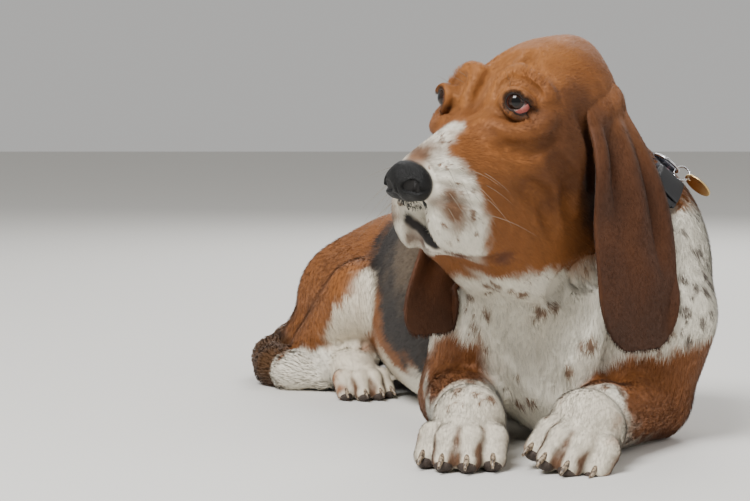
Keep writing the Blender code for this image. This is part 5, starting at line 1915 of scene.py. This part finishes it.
@dataclass
class Eye:
    """An eyeball with a clear bulge, its dark lid rims and the red haw of the lower lid."""

    side: int
    bulge: float = 0.0009
    rim: float = 0.0010

    def word(self) -> str:
        """Left or right."""
        return "left" if self.side > 0 else "right"

    def ball(self) -> bpy.types.Object:
        """The eyeball."""
        place = eye_place(self.side)
        look = place.turn.inverted() @ (SKULL.turn @ Vector((LOOK.x, self.side * LOOK.y, LOOK.z)))
        bm = bmesh.new()
        bmesh.ops.create_icosphere(bm, subdivisions=5, radius=EYE_RADIUS)
        for vert in bm.verts:
            ahead = vert.co.normalized().dot(look)
            vert.co *= 1.0 + self.bulge / EYE_RADIUS * float(eased(np.array((ahead - 0.74) / 0.26)))
        bmesh.ops.transform(bm, matrix=place.matrix(), verts=bm.verts)
        ball = object_from(f"eyeball_{self.word()}", bm)
        smooth_shade(ball.data)
        return ball

    def rims(self) -> bpy.types.Object:
        """The dark rim along both lids."""
        place, steps = eye_place(self.side), 72
        loop = [place.point(*point) for point in lid_line(self.side, steps)]
        for _ in range(2):
            loop = [(loop[k - 1] + loop[k] * 2 + loop[(k + 1) % steps]) / 4 for k in range(steps)]
        rims = object_from(f"lid_rims_{self.word()}", tube(loop, [self.rim] * steps, 10, closed=True))
        smooth_shade(rims.data)
        return rims

    def haw(self) -> bpy.types.Object:
        """The haw: a wet red crescent between the ball and the lower lid."""
        bm = bmesh.new()
        bmesh.ops.create_icosphere(bm, subdivisions=5, radius=EYE_RADIUS + 0.0004)
        geom = bm.verts[:] + bm.edges[:] + bm.faces[:]
        way = Vector((0.0, -0.34 * self.side, 1.0)).normalized()
        cut = bmesh.ops.bisect_plane(bm, geom=geom, plane_co=way * -0.0038, plane_no=way, clear_outer=True)
        edges = [g for g in cut["geom_cut"] if isinstance(g, bmesh.types.BMEdge)]
        bmesh.ops.holes_fill(bm, edges=edges)
        bmesh.ops.transform(bm, matrix=eye_place(self.side).matrix(), verts=bm.verts)
        haw = object_from(f"haw_{self.word()}", bm)
        smooth_shade(haw.data)
        return haw


def tube(
    path: Sequence[Vector], radii: Sequence[float], sides: int, closed: bool = False, flat: float = 1.0,
    normal: Vector | None = None,
) -> bmesh.types.BMesh:
    """A round wire along a path.

    Args:
        path: Points along its middle.
        radii: Its radius at each point.
        sides: How many sides it has.
        closed: Whether it ends where it starts.
        flat: How thick it is across its first way, as a share.
        normal: A way that its section keeps to.

    Returns:
        The wire.
    """
    bm = bmesh.new()
    rings = []
    count = len(path)
    aside = normal or Vector((0.3, 0.5, 0.8))
    for i, (point, radius) in enumerate(zip(path, radii)):
        before = path[i - 1] if closed or i else path[0]
        after = path[(i + 1) % count] if closed or i + 1 < count else path[-1]
        ahead = (after - before).normalized()
        first = (aside - ahead * aside.dot(ahead)).normalized()
        if normal is None:
            aside = first
        second = ahead.cross(first)
        angles = [2 * math.pi * k / sides for k in range(sides)]
        rings.append([
            bm.verts.new(point + (first * math.cos(a) * flat + second * math.sin(a)) * radius) for a in angles
        ])
    pairs = list(zip(rings, rings[1:]))
    if closed:
        pairs.append((rings[-1], rings[0]))
        if normal is None:
            pairs[-1] = (rings[-1], _nearest_turn(rings[-1], rings[0]))
    else:
        bm.faces.new(rings[0])
        bm.faces.new(rings[-1][::-1])
    for ring, following in pairs:
        for k in range(sides):
            j = (k + 1) % sides
            bm.faces.new((ring[k], ring[j], following[j], following[k]))
    bmesh.ops.recalc_face_normals(bm, faces=bm.faces)
    return bm


def _nearest_turn(ring: list, other: list) -> list:
    """The other ring, turned so that its points lie nearest to those of the first."""
    turns = [other[k:] + other[:k] for k in range(len(other))]
    return min(turns, key=lambda turn: sum((a.co - b.co).length_squared for a, b in zip(ring, turn)))


@dataclass
class NosePad:
    """The nose pad, with its comma nostrils and the groove between them."""

    reach: tuple[float, float, float] = (0.0225, 0.0290, 0.0220)

    def flesh(self, base: list[Lump]) -> list[Lump]:
        """The field with the nostrils and the groove carved."""
        carved: list[Lump] = []
        pad = Region(SKULL, Zone.HEAD, (-1, 0, 0), 0.003, carved)
        for s in (1, -1):
            pad.bar((NOSE_FORWARD + 0.018, s * 0.0092, 0.0010), (NOSE_FORWARD + 0.004, s * 0.0100, 0.0010),
                    0.0042, 0.0034, 0.002, carves=True)
            pad.chain(((NOSE_FORWARD + 0.014, s * 0.0120, 0.0000), (NOSE_FORWARD + 0.011, s * 0.0185, -0.0030),
                       (NOSE_FORWARD + 0.004, s * 0.0245, -0.0048)), (0.0030, 0.0022, 0.0012), 0.002, carves=True)
        pad.bar((NOSE_FORWARD + 0.018, 0, 0.006), (NOSE_FORWARD + 0.012, 0, -0.020), 0.0007, 0.0011, 0.0015, carves=True)
        return base + carved

    def build(self, base: list[Lump]) -> bpy.types.Object:
        """Makes the pad.

        Args:
            base: The flesh of the head.

        Returns:
            The pad, in the hound's frame.
        """
        bm = bmesh.new()
        bmesh.ops.create_icosphere(bm, subdivisions=6, radius=1.0)
        pad = object_from("nose_pad", bm)
        ways = points_of(pad.data)
        lumps = self.flesh(base)
        centre = np.array(SKULL.point(NOSE_FORWARD - 0.010, 0, -0.001))
        reach = np.full(len(ways), 0.004)
        for _ in range(60):
            depth = flesh_depth(centre + ways * reach[:, None], lumps)
            reach = np.clip(reach - np.clip(depth, -0.0012, 0.0012) * 0.7, 0.003, 0.040)
        points = centre + ways * reach[:, None]
        edge = Ball(CRISP, False, Vector(), 0, Zone.HEAD, Place(SKULL.point(0.2050, 0, 0.0005), SKULL.turn), self.reach)
        out = eased(0.5 - edge.depth(points) / 0.0024)
        points += ways * (0.0009 * out - 0.0050 * (1 - out))[:, None]
        set_points(pad.data, points)
        smooth_shade(pad.data)
        return pad


@dataclass
class PawDetail:
    """The claws and the bare pads of one paw."""

    paw: Paw
    sides: int = 12
    rings: int = 9

    def claws(self) -> bpy.types.Object:
        """Four blunt, bent claws in one mesh."""
        whole = bmesh.new()
        place, size = self.paw.place(), self.paw.size
        for _knuckle, tip, way in self.paw.toes():
            start = tip + way * 0.0060 * size + Vector((0, 0, 0.0048 * size))
            path, radii = [], []
            for k in range(self.rings + 1):
                along = 0.0158 * size * k / self.rings
                drop = 0.30 * along + 20.0 * along * along
                path.append(start + way * along + Vector((0, 0, -drop)))
                radii.append(0.0037 * size * (1.0 - (k / self.rings) ** 2.2 * 0.62))
            side_way = Vector((-way.y, way.x, 0.0))
            claw = tube(path, radii, self.sides, normal=side_way, flat=0.78)
            claw.transform(place.matrix())
            mesh = bpy.data.meshes.new("claw")
            claw.to_mesh(mesh)
            claw.free()
            whole.from_mesh(mesh)
            bpy.data.meshes.remove(mesh)
        for vert in whole.verts:
            vert.co.z = max(vert.co.z, 0.0006)
        claws = object_from(f"claws_{self.paw.name}", whole)
        smooth_shade(claws.data)
        return claws

    def pads(self) -> bpy.types.Object:
        """The toe pads and the heel pad in one mesh."""
        whole = bmesh.new()
        place, size = self.paw.place(), self.paw.size
        spots = [(tip + Vector((0.0022, 0, -0.0040)) * size, (0.0120, 0.0095, 0.0072)) for _k, tip, _w in self.paw.toes()]
        spots.append((Vector((0.022, 0, 0.0075)) * size, (0.0200, 0.0235, 0.0080)))
        for centre, radii in spots:
            matrix = place.matrix() @ Matrix.Translation(centre) @ Matrix.Diagonal((*(r * size for r in radii), 1.0))
            bmesh.ops.create_icosphere(whole, subdivisions=4, radius=1.0, matrix=matrix)
        for vert in whole.verts:
            vert.co.z = max(vert.co.z, 0.0004)
        pads = object_from(f"pads_{self.paw.name}", whole)
        smooth_shade(pads.data)
        return pads


@dataclass
class Whiskers:
    """The whiskers of the muzzle and the brows."""

    flesh: list[Lump]
    length: float = 0.045
    radius: float = 0.00022

    def build(self) -> bpy.types.Object:
        """Grows them in one mesh."""
        random = np.random.default_rng(77)
        whole = bmesh.new()
        for s in (1, -1):
            for row, rise in enumerate((-0.048, -0.060, -0.072, -0.086)):
                for column in range(4):
                    start = HANG.point(0.166 - 0.012 * column, s * (0.034 + 0.003 * column), rise - 0.002 * column)
                    way = HANG.turn @ Vector((0.45 - 0.30 * column, s * 1.0, -0.35 - 0.12 * row))
                    self._one(whole, start, way, self.length * random.uniform(0.6, 1.15), random)
            for k in range(3):
                start = SKULL.point(0.066 + 0.005 * k, s * (0.024 + 0.005 * k), 0.0540)
                way = SKULL.turn @ Vector((0.5, s * 0.5, 0.9))
                self._one(whole, start, way, 0.022, random)
        whiskers = object_from("whiskers", whole)
        smooth_shade(whiskers.data)
        return whiskers

    def _one(self, whole: bmesh.types.BMesh, start: Vector, way: Vector, length: float, random: np.random.Generator) -> None:
        """One tapered whisker that droops, from a place that is first moved onto the skin."""
        for _ in range(6):
            depth, slope = depth_and_slope(np.array([start]), self.flesh)
            start = start - Vector(slope[0]) * float(np.clip(depth[0] + 0.001, -0.01, 0.01))
        way = (way.normalized() + Vector(random.normal(size=3)) * 0.12).normalized()
        path, radii = [], []
        for k in range(9):
            share = k / 8
            droop = Vector((0, 0, -0.22)) * length * share * share
            path.append(start + way * length * share + droop)
            radii.append(self.radius * (1.0 - 0.85 * share))
        one = tube(path, radii, 5)
        mesh = bpy.data.meshes.new("whisker")
        one.to_mesh(mesh)
        one.free()
        whole.from_mesh(mesh)
        bpy.data.meshes.remove(mesh)


@dataclass
class Collar:
    """The webbing collar with its buckle, D-ring, split ring and plain tag."""

    flesh: list[Lump]
    steps: int = 144
    buckle: tuple[int, int] = (27, 39)
    ring: int = 45
    sunk: float = 0.0012

    def __post_init__(self) -> None:
        """Finds where the band lies on the neck."""
        angles = np.linspace(0.0, 2 * np.pi, self.steps, endpoint=False)
        flat = np.stack((np.cos(angles), np.sin(angles), np.zeros(self.steps)), axis=1)
        self.ways = flat @ np.array(COLLAR.turn).T
        most = np.array([collar_reach(angle) for angle in angles])
        edges = []
        for rise in (-COLLAR_WIDTH / 2, COLLAR_WIDTH / 2):
            start = np.array(COLLAR.point(0, 0, rise))
            reach = np.full(self.steps, 0.040)
            for _ in range(24):
                depth = flesh_depth(start + self.ways * reach[:, None], self.flesh)
                reach = np.minimum(reach - (depth + self.sunk) * 0.7, most + 0.004)
            for _ in range(27):
                reach = (np.roll(reach, 1) + 2 * reach + np.roll(reach, -1)) / 4
            edges.append(start + self.ways * reach[:, None])
        self.low, self.high = edges

    def _at(self, step: float, across: float, out: float) -> Vector:
        """A place on the band: at a step round it, across from 0 to 1, and out from its inner face."""
        first, share = int(math.floor(step)) % self.steps, step - math.floor(step)
        second = (first + 1) % self.steps
        low = self.low[first] * (1 - share) + self.low[second] * share
        high = self.high[first] * (1 - share) + self.high[second] * share
        way = self.ways[first] * (1 - share) + self.ways[second] * share
        return Vector(low * (1 - across) + high * across + way * out)

    def band(self) -> bpy.types.Object:
        """The band, with a rounded section and its own UV map round it."""
        thick = COLLAR_THICKNESS
        section = ((0.0, 0.35), (0.0, 0.65), (0.03, 0.95), (0.10, 1.0), (0.5, 1.0), (0.90, 1.0), (0.97, 0.95),
                   (1.0, 0.65), (1.0, 0.35), (0.97, 0.05), (0.5, 0.0), (0.03, 0.05))
        bm = bmesh.new()
        layer = bm.loops.layers.uv.new("webbing")
        rings = [[bm.verts.new(self._at(step, a, o * thick)) for a, o in section] for step in range(self.steps)]
        for step in range(self.steps):
            ring, following = rings[step], rings[(step + 1) % self.steps]
            for k in range(len(section)):
                j = (k + 1) % len(section)
                face = bm.faces.new((ring[k], ring[j], following[j], following[k]))
                for loop, (along, spot) in zip(face.loops, ((step, k), (step, j), (step + 1, j), (step + 1, k))):
                    loop[layer].uv = (along / self.steps, section[spot][0])
        bmesh.ops.recalc_face_normals(bm, faces=bm.faces)
        band = object_from("collar_webbing", bm)
        smooth_shade(band.data)
        return band

    def _block(self, first: float, last: float, low: float, high: float, inner: float, outer: float, edge: float) -> bmesh.types.BMesh:
        """A block curved along the band, with bevelled edges."""
        bm = bmesh.new()
        count = 14
        rings = []
        for k in range(count + 1):
            step = first + (last - first) * k / count
            corners = ((low, inner), (high, inner), (high, outer), (low, outer))
            rings.append([bm.verts.new(self._at(step, a, o)) for a, o in corners])
        bm.faces.new(rings[0])
        bm.faces.new(rings[-1][::-1])
        for ring, following in zip(rings, rings[1:]):
            for k in range(4):
                j = (k + 1) % 4
                bm.faces.new((ring[k], ring[j], following[j], following[k]))
        bmesh.ops.recalc_face_normals(bm, faces=bm.faces)
        sharp = [e for e in bm.edges if e.calc_face_angle(0.0) > 0.8]
        bmesh.ops.bevel(bm, geom=sharp, offset=edge, segments=3, affect="EDGES", profile=0.5, material=-1)
        return bm

    def buckle_body(self) -> bpy.types.Object:
        """The buckle: a housing, the two arms that are pressed to open it, and the bars for the webbing."""
        first, last = self.buckle
        top = COLLAR_THICKNESS + 0.0003
        blocks = (
            (first + 3.5, last - 1.0, -0.04, 1.04, top, top + 0.0082, 0.0014),
            (first + 0.2, first + 3.2, 0.06, 0.94, top, top + 0.0066, 0.0012),
            (first + 2.0, first + 5.0, -0.09, 0.10, top + 0.0008, top + 0.0060, 0.0012),
            (first + 2.0, first + 5.0, 0.90, 1.09, top + 0.0008, top + 0.0060, 0.0012),
            (last - 0.9, last - 0.1, -0.02, 1.02, top, top + 0.0052, 0.0010),
        )
        whole = bmesh.new()
        for block in blocks:
            self._merge(whole, self._block(*block))
        return object_from("buckle", whole)

    @staticmethod
    def _merge(whole: bmesh.types.BMesh, part: bmesh.types.BMesh) -> None:
        """Adds a part to a mesh and frees it."""
        mesh = bpy.data.meshes.new("part")
        part.to_mesh(mesh)
        part.free()
        whole.from_mesh(mesh)
        bpy.data.meshes.remove(mesh)

    def keeper(self) -> bpy.types.Object:
        """The short sewn loop of webbing that holds the D-ring."""
        top = COLLAR_THICKNESS + 0.0002
        whole = self._block(self.ring - 1.1, self.ring + 1.1, 0.06, 0.94, top, top + 0.0046, 0.0012)
        keeper = object_from("keeper", whole)
        keeper.data.uv_layers.new(name="webbing")
        smooth_shade(keeper.data)
        return keeper

    def rings(self) -> tuple[bpy.types.Object, bpy.types.Object, bpy.types.Object]:
        """The D-ring, the split ring in it and the tag on that."""
        low, high = Vector(self.low[self.ring]), Vector(self.high[self.ring])
        outward, along = Vector(self.ways[self.ring]), (high - low).normalized()
        wire, small_wire, small_radius, hole = 0.0017, 0.0008, 0.0080, 0.0022
        start = (low + high) / 2 + outward * (COLLAR_THICKNESS + 0.0003 + wire)
        lean = square_to(outward + Vector((0.0, -0.6, -0.8)), along)
        d_place = Place(start, Matrix((lean, along, lean.cross(along))).transposed())
        path = []
        for k in range(64):
            angle = 2 * math.pi * k / 64
            path.append(d_place.point(max(0.015 * math.cos(angle), 0.0), 0.0145 * math.sin(angle), 0.0))
        d_ring = object_from("d_ring", tube(path, [wire] * 64, 14, closed=True, normal=d_place.turn.col[2]))
        hang = Vector((0.74, -0.36, -0.57)).normalized()
        axis = square_to(Vector((0.20, -0.92, 0.30)), hang)
        turn = math.radians(-60)
        corner = d_place.point(0.015 * math.cos(turn), 0.0145 * math.sin(turn), 0)
        centre = corner + hang * (small_radius - small_wire - wire - 0.0003)
        small = Place(centre, Matrix((hang, axis.cross(hang), axis)).transposed())
        coil = []
        for k in range(145):
            angle = 4 * math.pi * k / 144
            rise = small_wire * 1.05 * (k / 72 - 1.0)
            coil.append(small.point(small_radius * math.cos(angle), small_radius * math.sin(angle), rise))
        split = object_from("split_ring", tube(coil, [small_wire] * 145, 10, normal=axis))
        bore = centre + hang * (small_radius + hole - small_wire - 0.0003)
        tag = self._tag(Place(bore, Matrix((hang, axis, hang.cross(axis))).transposed()), hole)
        for made in (d_ring, split, tag):
            smooth_shade(made.data)
        return d_ring, split, tag

    @staticmethod
    def _tag(place: Place, hole: float) -> bpy.types.Object:
        """A plain oval tag with a raised rim and a bored hole."""
        long, wide, half = 0.0155, 0.0125, 0.00075
        middle = long - 0.0042
        section = ((0.0, -half), (0.0, half), (0.06, half), (0.80, half), (0.86, half + 0.0003), (0.95, half + 0.0003),
                   (0.99, half), (1.0, 0.0), (0.99, -half), (0.95, -half - 0.0003), (0.86, -half - 0.0003),
                   (0.80, -half), (0.06, -half))
        bm = bmesh.new()
        rings = []
        for k in range(72):
            angle = 2 * math.pi * k / 72
            way = Vector((math.cos(angle), math.sin(angle)))
            inner = way * hole
            a = (way.x / long) ** 2 + (way.y / wide) ** 2
            b = -2 * way.x * middle / long**2
            c = (middle / long) ** 2 - 1
            outer = way * ((-b + math.sqrt(b * b - 4 * a * c)) / (2 * a))
            ring = []
            for share, rise in section:
                spot = inner.lerp(outer, share)
                ring.append(bm.verts.new(place.point(spot.x, spot.y, rise)))
            rings.append(ring)
        for ring, following in zip(rings, rings[1:] + rings[:1]):
            for k in range(len(section)):
                j = (k + 1) % len(section)
                bm.faces.new((ring[k], ring[j], following[j], following[k]))
        bmesh.ops.recalc_face_normals(bm, faces=bm.faces)
        return object_from("tag_plain", bm)


def square_to(way: Vector, axis: Vector) -> Vector:
    """The part of a way that is square to an axis, of length 1."""
    return (way - axis * way.dot(axis)).normalized()


@dataclass
class Studio:
    """The camera, the pale floor and the soft lights."""

    camera_at: Vector
    pitch: float = 4.0
    lens: float = 96.0

    def build(self) -> None:
        """Sets up the stage round the hound."""
        camera = bpy.data.cameras.new("camera")
        camera.lens, camera.sensor_width = self.lens, 36.0
        held = bpy.data.objects.new("camera", camera)
        held.location = self.camera_at
        held.rotation_euler = (math.radians(90.0 - self.pitch), 0.0, 0.0)
        bpy.context.scene.collection.objects.link(held)
        bpy.context.scene.camera = held
        self._floor()
        self._light("key", Vector((-1.3, -2.0, 2.9)), 1.6, 205.0)
        self._light("fill", Vector((2.4, -1.6, 1.6)), 2.6, 24.0)
        self._light("back", Vector((0.6, 2.6, 2.2)), 2.0, 70.0)
        world = bpy.data.worlds.new("pale room")
        world.use_nodes = True
        backdrop = world.node_tree.nodes["Background"]
        backdrop.inputs["Color"].default_value = (0.90, 0.89, 0.87, 1.0)
        backdrop.inputs["Strength"].default_value = 0.56
        bpy.context.scene.world = world

    @staticmethod
    def _floor() -> None:
        """The floor, which isn't part of the hound."""
        bm = bmesh.new()
        bmesh.ops.create_grid(bm, x_segments=1, y_segments=1, size=14.0)
        floor = object_from("floor", bm)
        floor.data.materials.append(FloorFinish().material("pale floor"))

    @staticmethod
    def _light(name: str, place: Vector, size: float, power: float) -> None:
        """A soft square light that points at the middle of the hound."""
        light = bpy.data.lights.new(name, "AREA")
        light.size, light.energy = size, power
        held = bpy.data.objects.new(name, light)
        held.location = place
        held.rotation_mode = "QUATERNION"
        held.rotation_quaternion = (Vector((0, 0, 0.15)) - place).to_track_quat("-Z", "Y")
        bpy.context.scene.collection.objects.link(held)


EARS = (
    Ear("left", -1, ((0.200, 0.120, 0.364), (0.236, 0.104, 0.328), (0.252, 0.097, 0.200), (0.256, 0.106, 0.097)),
        (50.0, 38.0),
        ((0.015, 0.37, 0.27, -0.82, 0.42), (0.010, 0.48, 0.38, 0.10, 0.46), (0.008, 0.54, 0.28, 0.84, 0.30),
         (-0.005, 0.56, 0.24, 0.56, 0.16), (-0.007, 0.37, 0.24, -0.40, 0.16), (0.004, 0.82, 0.16, 0.30, 0.60))),
    Ear("right", 1, ((0.136, 0.182, 0.366), (0.118, 0.208, 0.330), (0.090, 0.168, 0.200), (0.052, 0.130, 0.110)),
        (226.0, 212.0),
        ((0.010, 0.40, 0.40, -0.4, 0.4), (-0.010, 0.55, 0.40, 0.5, 0.4)), 0.0480),
)


@dataclass
class Hound:
    """The whole hound, built piece by piece."""

    display: Display
    anatomy: Anatomy = field(default_factory=lambda: Anatomy().build())

    def __post_init__(self) -> None:
        """Lays the markings on the flesh."""
        self.markings = Markings(self.anatomy.lumps)

    def build(self) -> None:
        """Builds the flesh, the eyes and nose, the feet and the collar."""
        skin = Skin(self.anatomy, self.markings)
        body = skin.build(self.display.shift)
        coat = CoatFinish()
        hair = coat.material("coat")
        pieces = BodyCoat(body, skin.field, self.markings, self._bare()).build()
        self._ears(skin.field, coat)
        self._eyes()
        self._nose(skin.field)
        self._feet()
        self._collar()
        self.display.show(Whiskers(skin.field).build(), "coat", WhiskerFinish().material("whiskers"))
        self.display.show(body, "coat", hair, skin.nodes)
        for piece in pieces:
            self.display.show(piece, "coat", hair)

    def _bare(self) -> list[Lump]:
        """Where no hair grows: the nose, the eyes and the lips' edges."""
        bare: list[Lump] = []
        head = Region(SKULL, Zone.HEAD, (-1, 0, 0), 0.0, bare)
        head.ball((0.2050, 0, 0.0005), (0.0254, 0.0326, 0.0254), 0.001)
        head.bar((0.208, 0, -0.018), (0.200, 0, -0.034), 0.0070, 0.0046, 0.001)
        for s in (1, -1):
            rim = Region(eye_place(s), Zone.HEAD, (-1, 0, 0), 0.0, bare)
            line = [tuple(point) for point in lid_line(s, 20)]
            rim.chain([*line, line[0]], [0.0014] * 21, 0.001)
            rim.ball((0.0100, s * 0.0008, 0.0010), (0.0100, 0.0086, 0.0086), 0.001)
            lip = Region(HANG, Zone.HEAD, (-1, 0, 0), 0.0, bare)
            lip.chain(mouth_line(s), (0.0050, 0.0066, 0.0056, 0.0032, 0.0016), 0.001)
        Region(HANG, Zone.HEAD, (-1, 0, 0), 0.0, bare).chain(
            MOUTH_SLIT, (0.0028, 0.0044, 0.0060, 0.0068, 0.0066, 0.0050), 0.001)
        for paw in PAWS:
            for _knuckle, tip, way in paw.toes():
                spot = Region(paw.place(), Zone.FORELEGS, (1, 0, 0), 0.0, bare)
                start = tip + way * 0.0100 * paw.size + Vector((0, 0, 0.0040 * paw.size))
                spot.ball(tuple(start), (0.0050 * paw.size,) * 3, 0.001)
        return bare

    def _ears(self, flesh: list[Lump], coat: CoatFinish) -> None:
        """Both ears and the hair on them."""
        for ear in EARS:
            leather = ear.build(flesh, self.markings)
            hair = ear.coat(leather, self.markings)
            finish = coat.material(f"ear coat {ear.name}")
            self.display.show(leather, "coat_ear", finish, [f"ear_{ear.name}"])
            self.display.show(hair, "coat_ear", finish)

    def _eyes(self) -> None:
        """Both eyes with their rims and haws."""
        rim = LeatherFinish(srgb(22, 15, 13), srgb(52, 38, 32), 0.42, 1600.0, 0.0002, 0.3).material("lid rims")
        red = LeatherFinish(srgb(150, 62, 60), srgb(206, 128, 120), 0.22, 900.0, 0.0002, 0.8).material("haw")
        for side in (1, -1):
            eye = Eye(side)
            gaze = SKULL.turn @ Vector((LOOK.x, side * LOOK.y, LOOK.z))
            centre = eye_place(side).origin + self.display.shift
            # the way in which the white stays pale, outside the painted shade
            pale = eye_place(side).turn @ Vector((0.80, 0.16 * side, -0.56)).normalized()
            finish = EyeFinish(tuple(centre), tuple(gaze), tuple(pale)).material(f"eye {eye.word()}")
            self.display.show(eye.ball(), "eye", finish, [f"eye_{eye.word()}"])
            self.display.show(eye.rims(), "eye", rim)
            self.display.show(eye.haw(), "eye", red)

    def _nose(self, flesh: list[Lump]) -> None:
        """The nose pad."""
        leather = LeatherFinish(srgb(4, 4, 4), srgb(17, 16, 15), 0.44, 1150.0, 0.0006)
        self.display.show(NosePad().build(self.anatomy.lumps), "nose_leather", leather.material("nose leather"), ["nose"])

    def _feet(self) -> None:
        """The claws and pads of all four paws."""
        horn = HornFinish().material("claw horn")
        leather = LeatherFinish(srgb(38, 32, 29), srgb(86, 74, 66), 0.62, 1000.0, 0.0005).material("pad leather")
        for paw in PAWS:
            detail = PawDetail(paw)
            nodes = [f"{paw.claw_name}_{number}" for number in range(1, 5)]
            self.display.show(detail.claws(), "claw", horn, nodes)
            self.display.show(detail.pads(), "coat_paw", leather)

    def _collar(self) -> None:
        """The collar and what hangs on it."""
        collar = Collar(self.anatomy.lumps[:self.anatomy.collar_at])
        navy, pink, white = srgb(26, 32, 52), srgb(196, 132, 150), srgb(206, 206, 210)
        webbing = WebbingFinish(navy, white, pink, Weave.FLECKED, 0.62, COLLAR_WIDTH).material("webbing")
        steel = MetalFinish((0.62, 0.62, 0.64, 1.0), 0.22, 0.00006).material("ring steel")
        brass = MetalFinish(srgb(214, 184, 132), 0.34, 0.00008).material("tag brass")
        plastic = MouldedFinish(srgb(24, 24, 26)).material("buckle plastic")
        self.display.show(collar.band(), "webbing", webbing, ["collar_band"])
        self.display.show(collar.keeper(), "webbing", webbing)
        self.display.show(collar.buckle_body(), "buckle_plastic", plastic, ["collar_buckle"])
        d_ring, split, tag = collar.rings()
        self.display.show(d_ring, "ring_steel", steel, ["collar_ring"])
        self.display.show(split, "ring_steel", steel, ["tag_ring"])
        self.display.show(tag, "tag_brass", brass, ["tag"])


def main() -> None:
    """Builds the hound and the studio."""
    logging.basicConfig(level=logging.INFO, format="%(name)s: %(message)s")
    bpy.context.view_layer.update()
    shift = placement()
    Hound(Display(shift)).build()
    Studio(shift + Vector((0.0, -1.8, 0.33))).build()


if __name__ == "__main__":
    main()
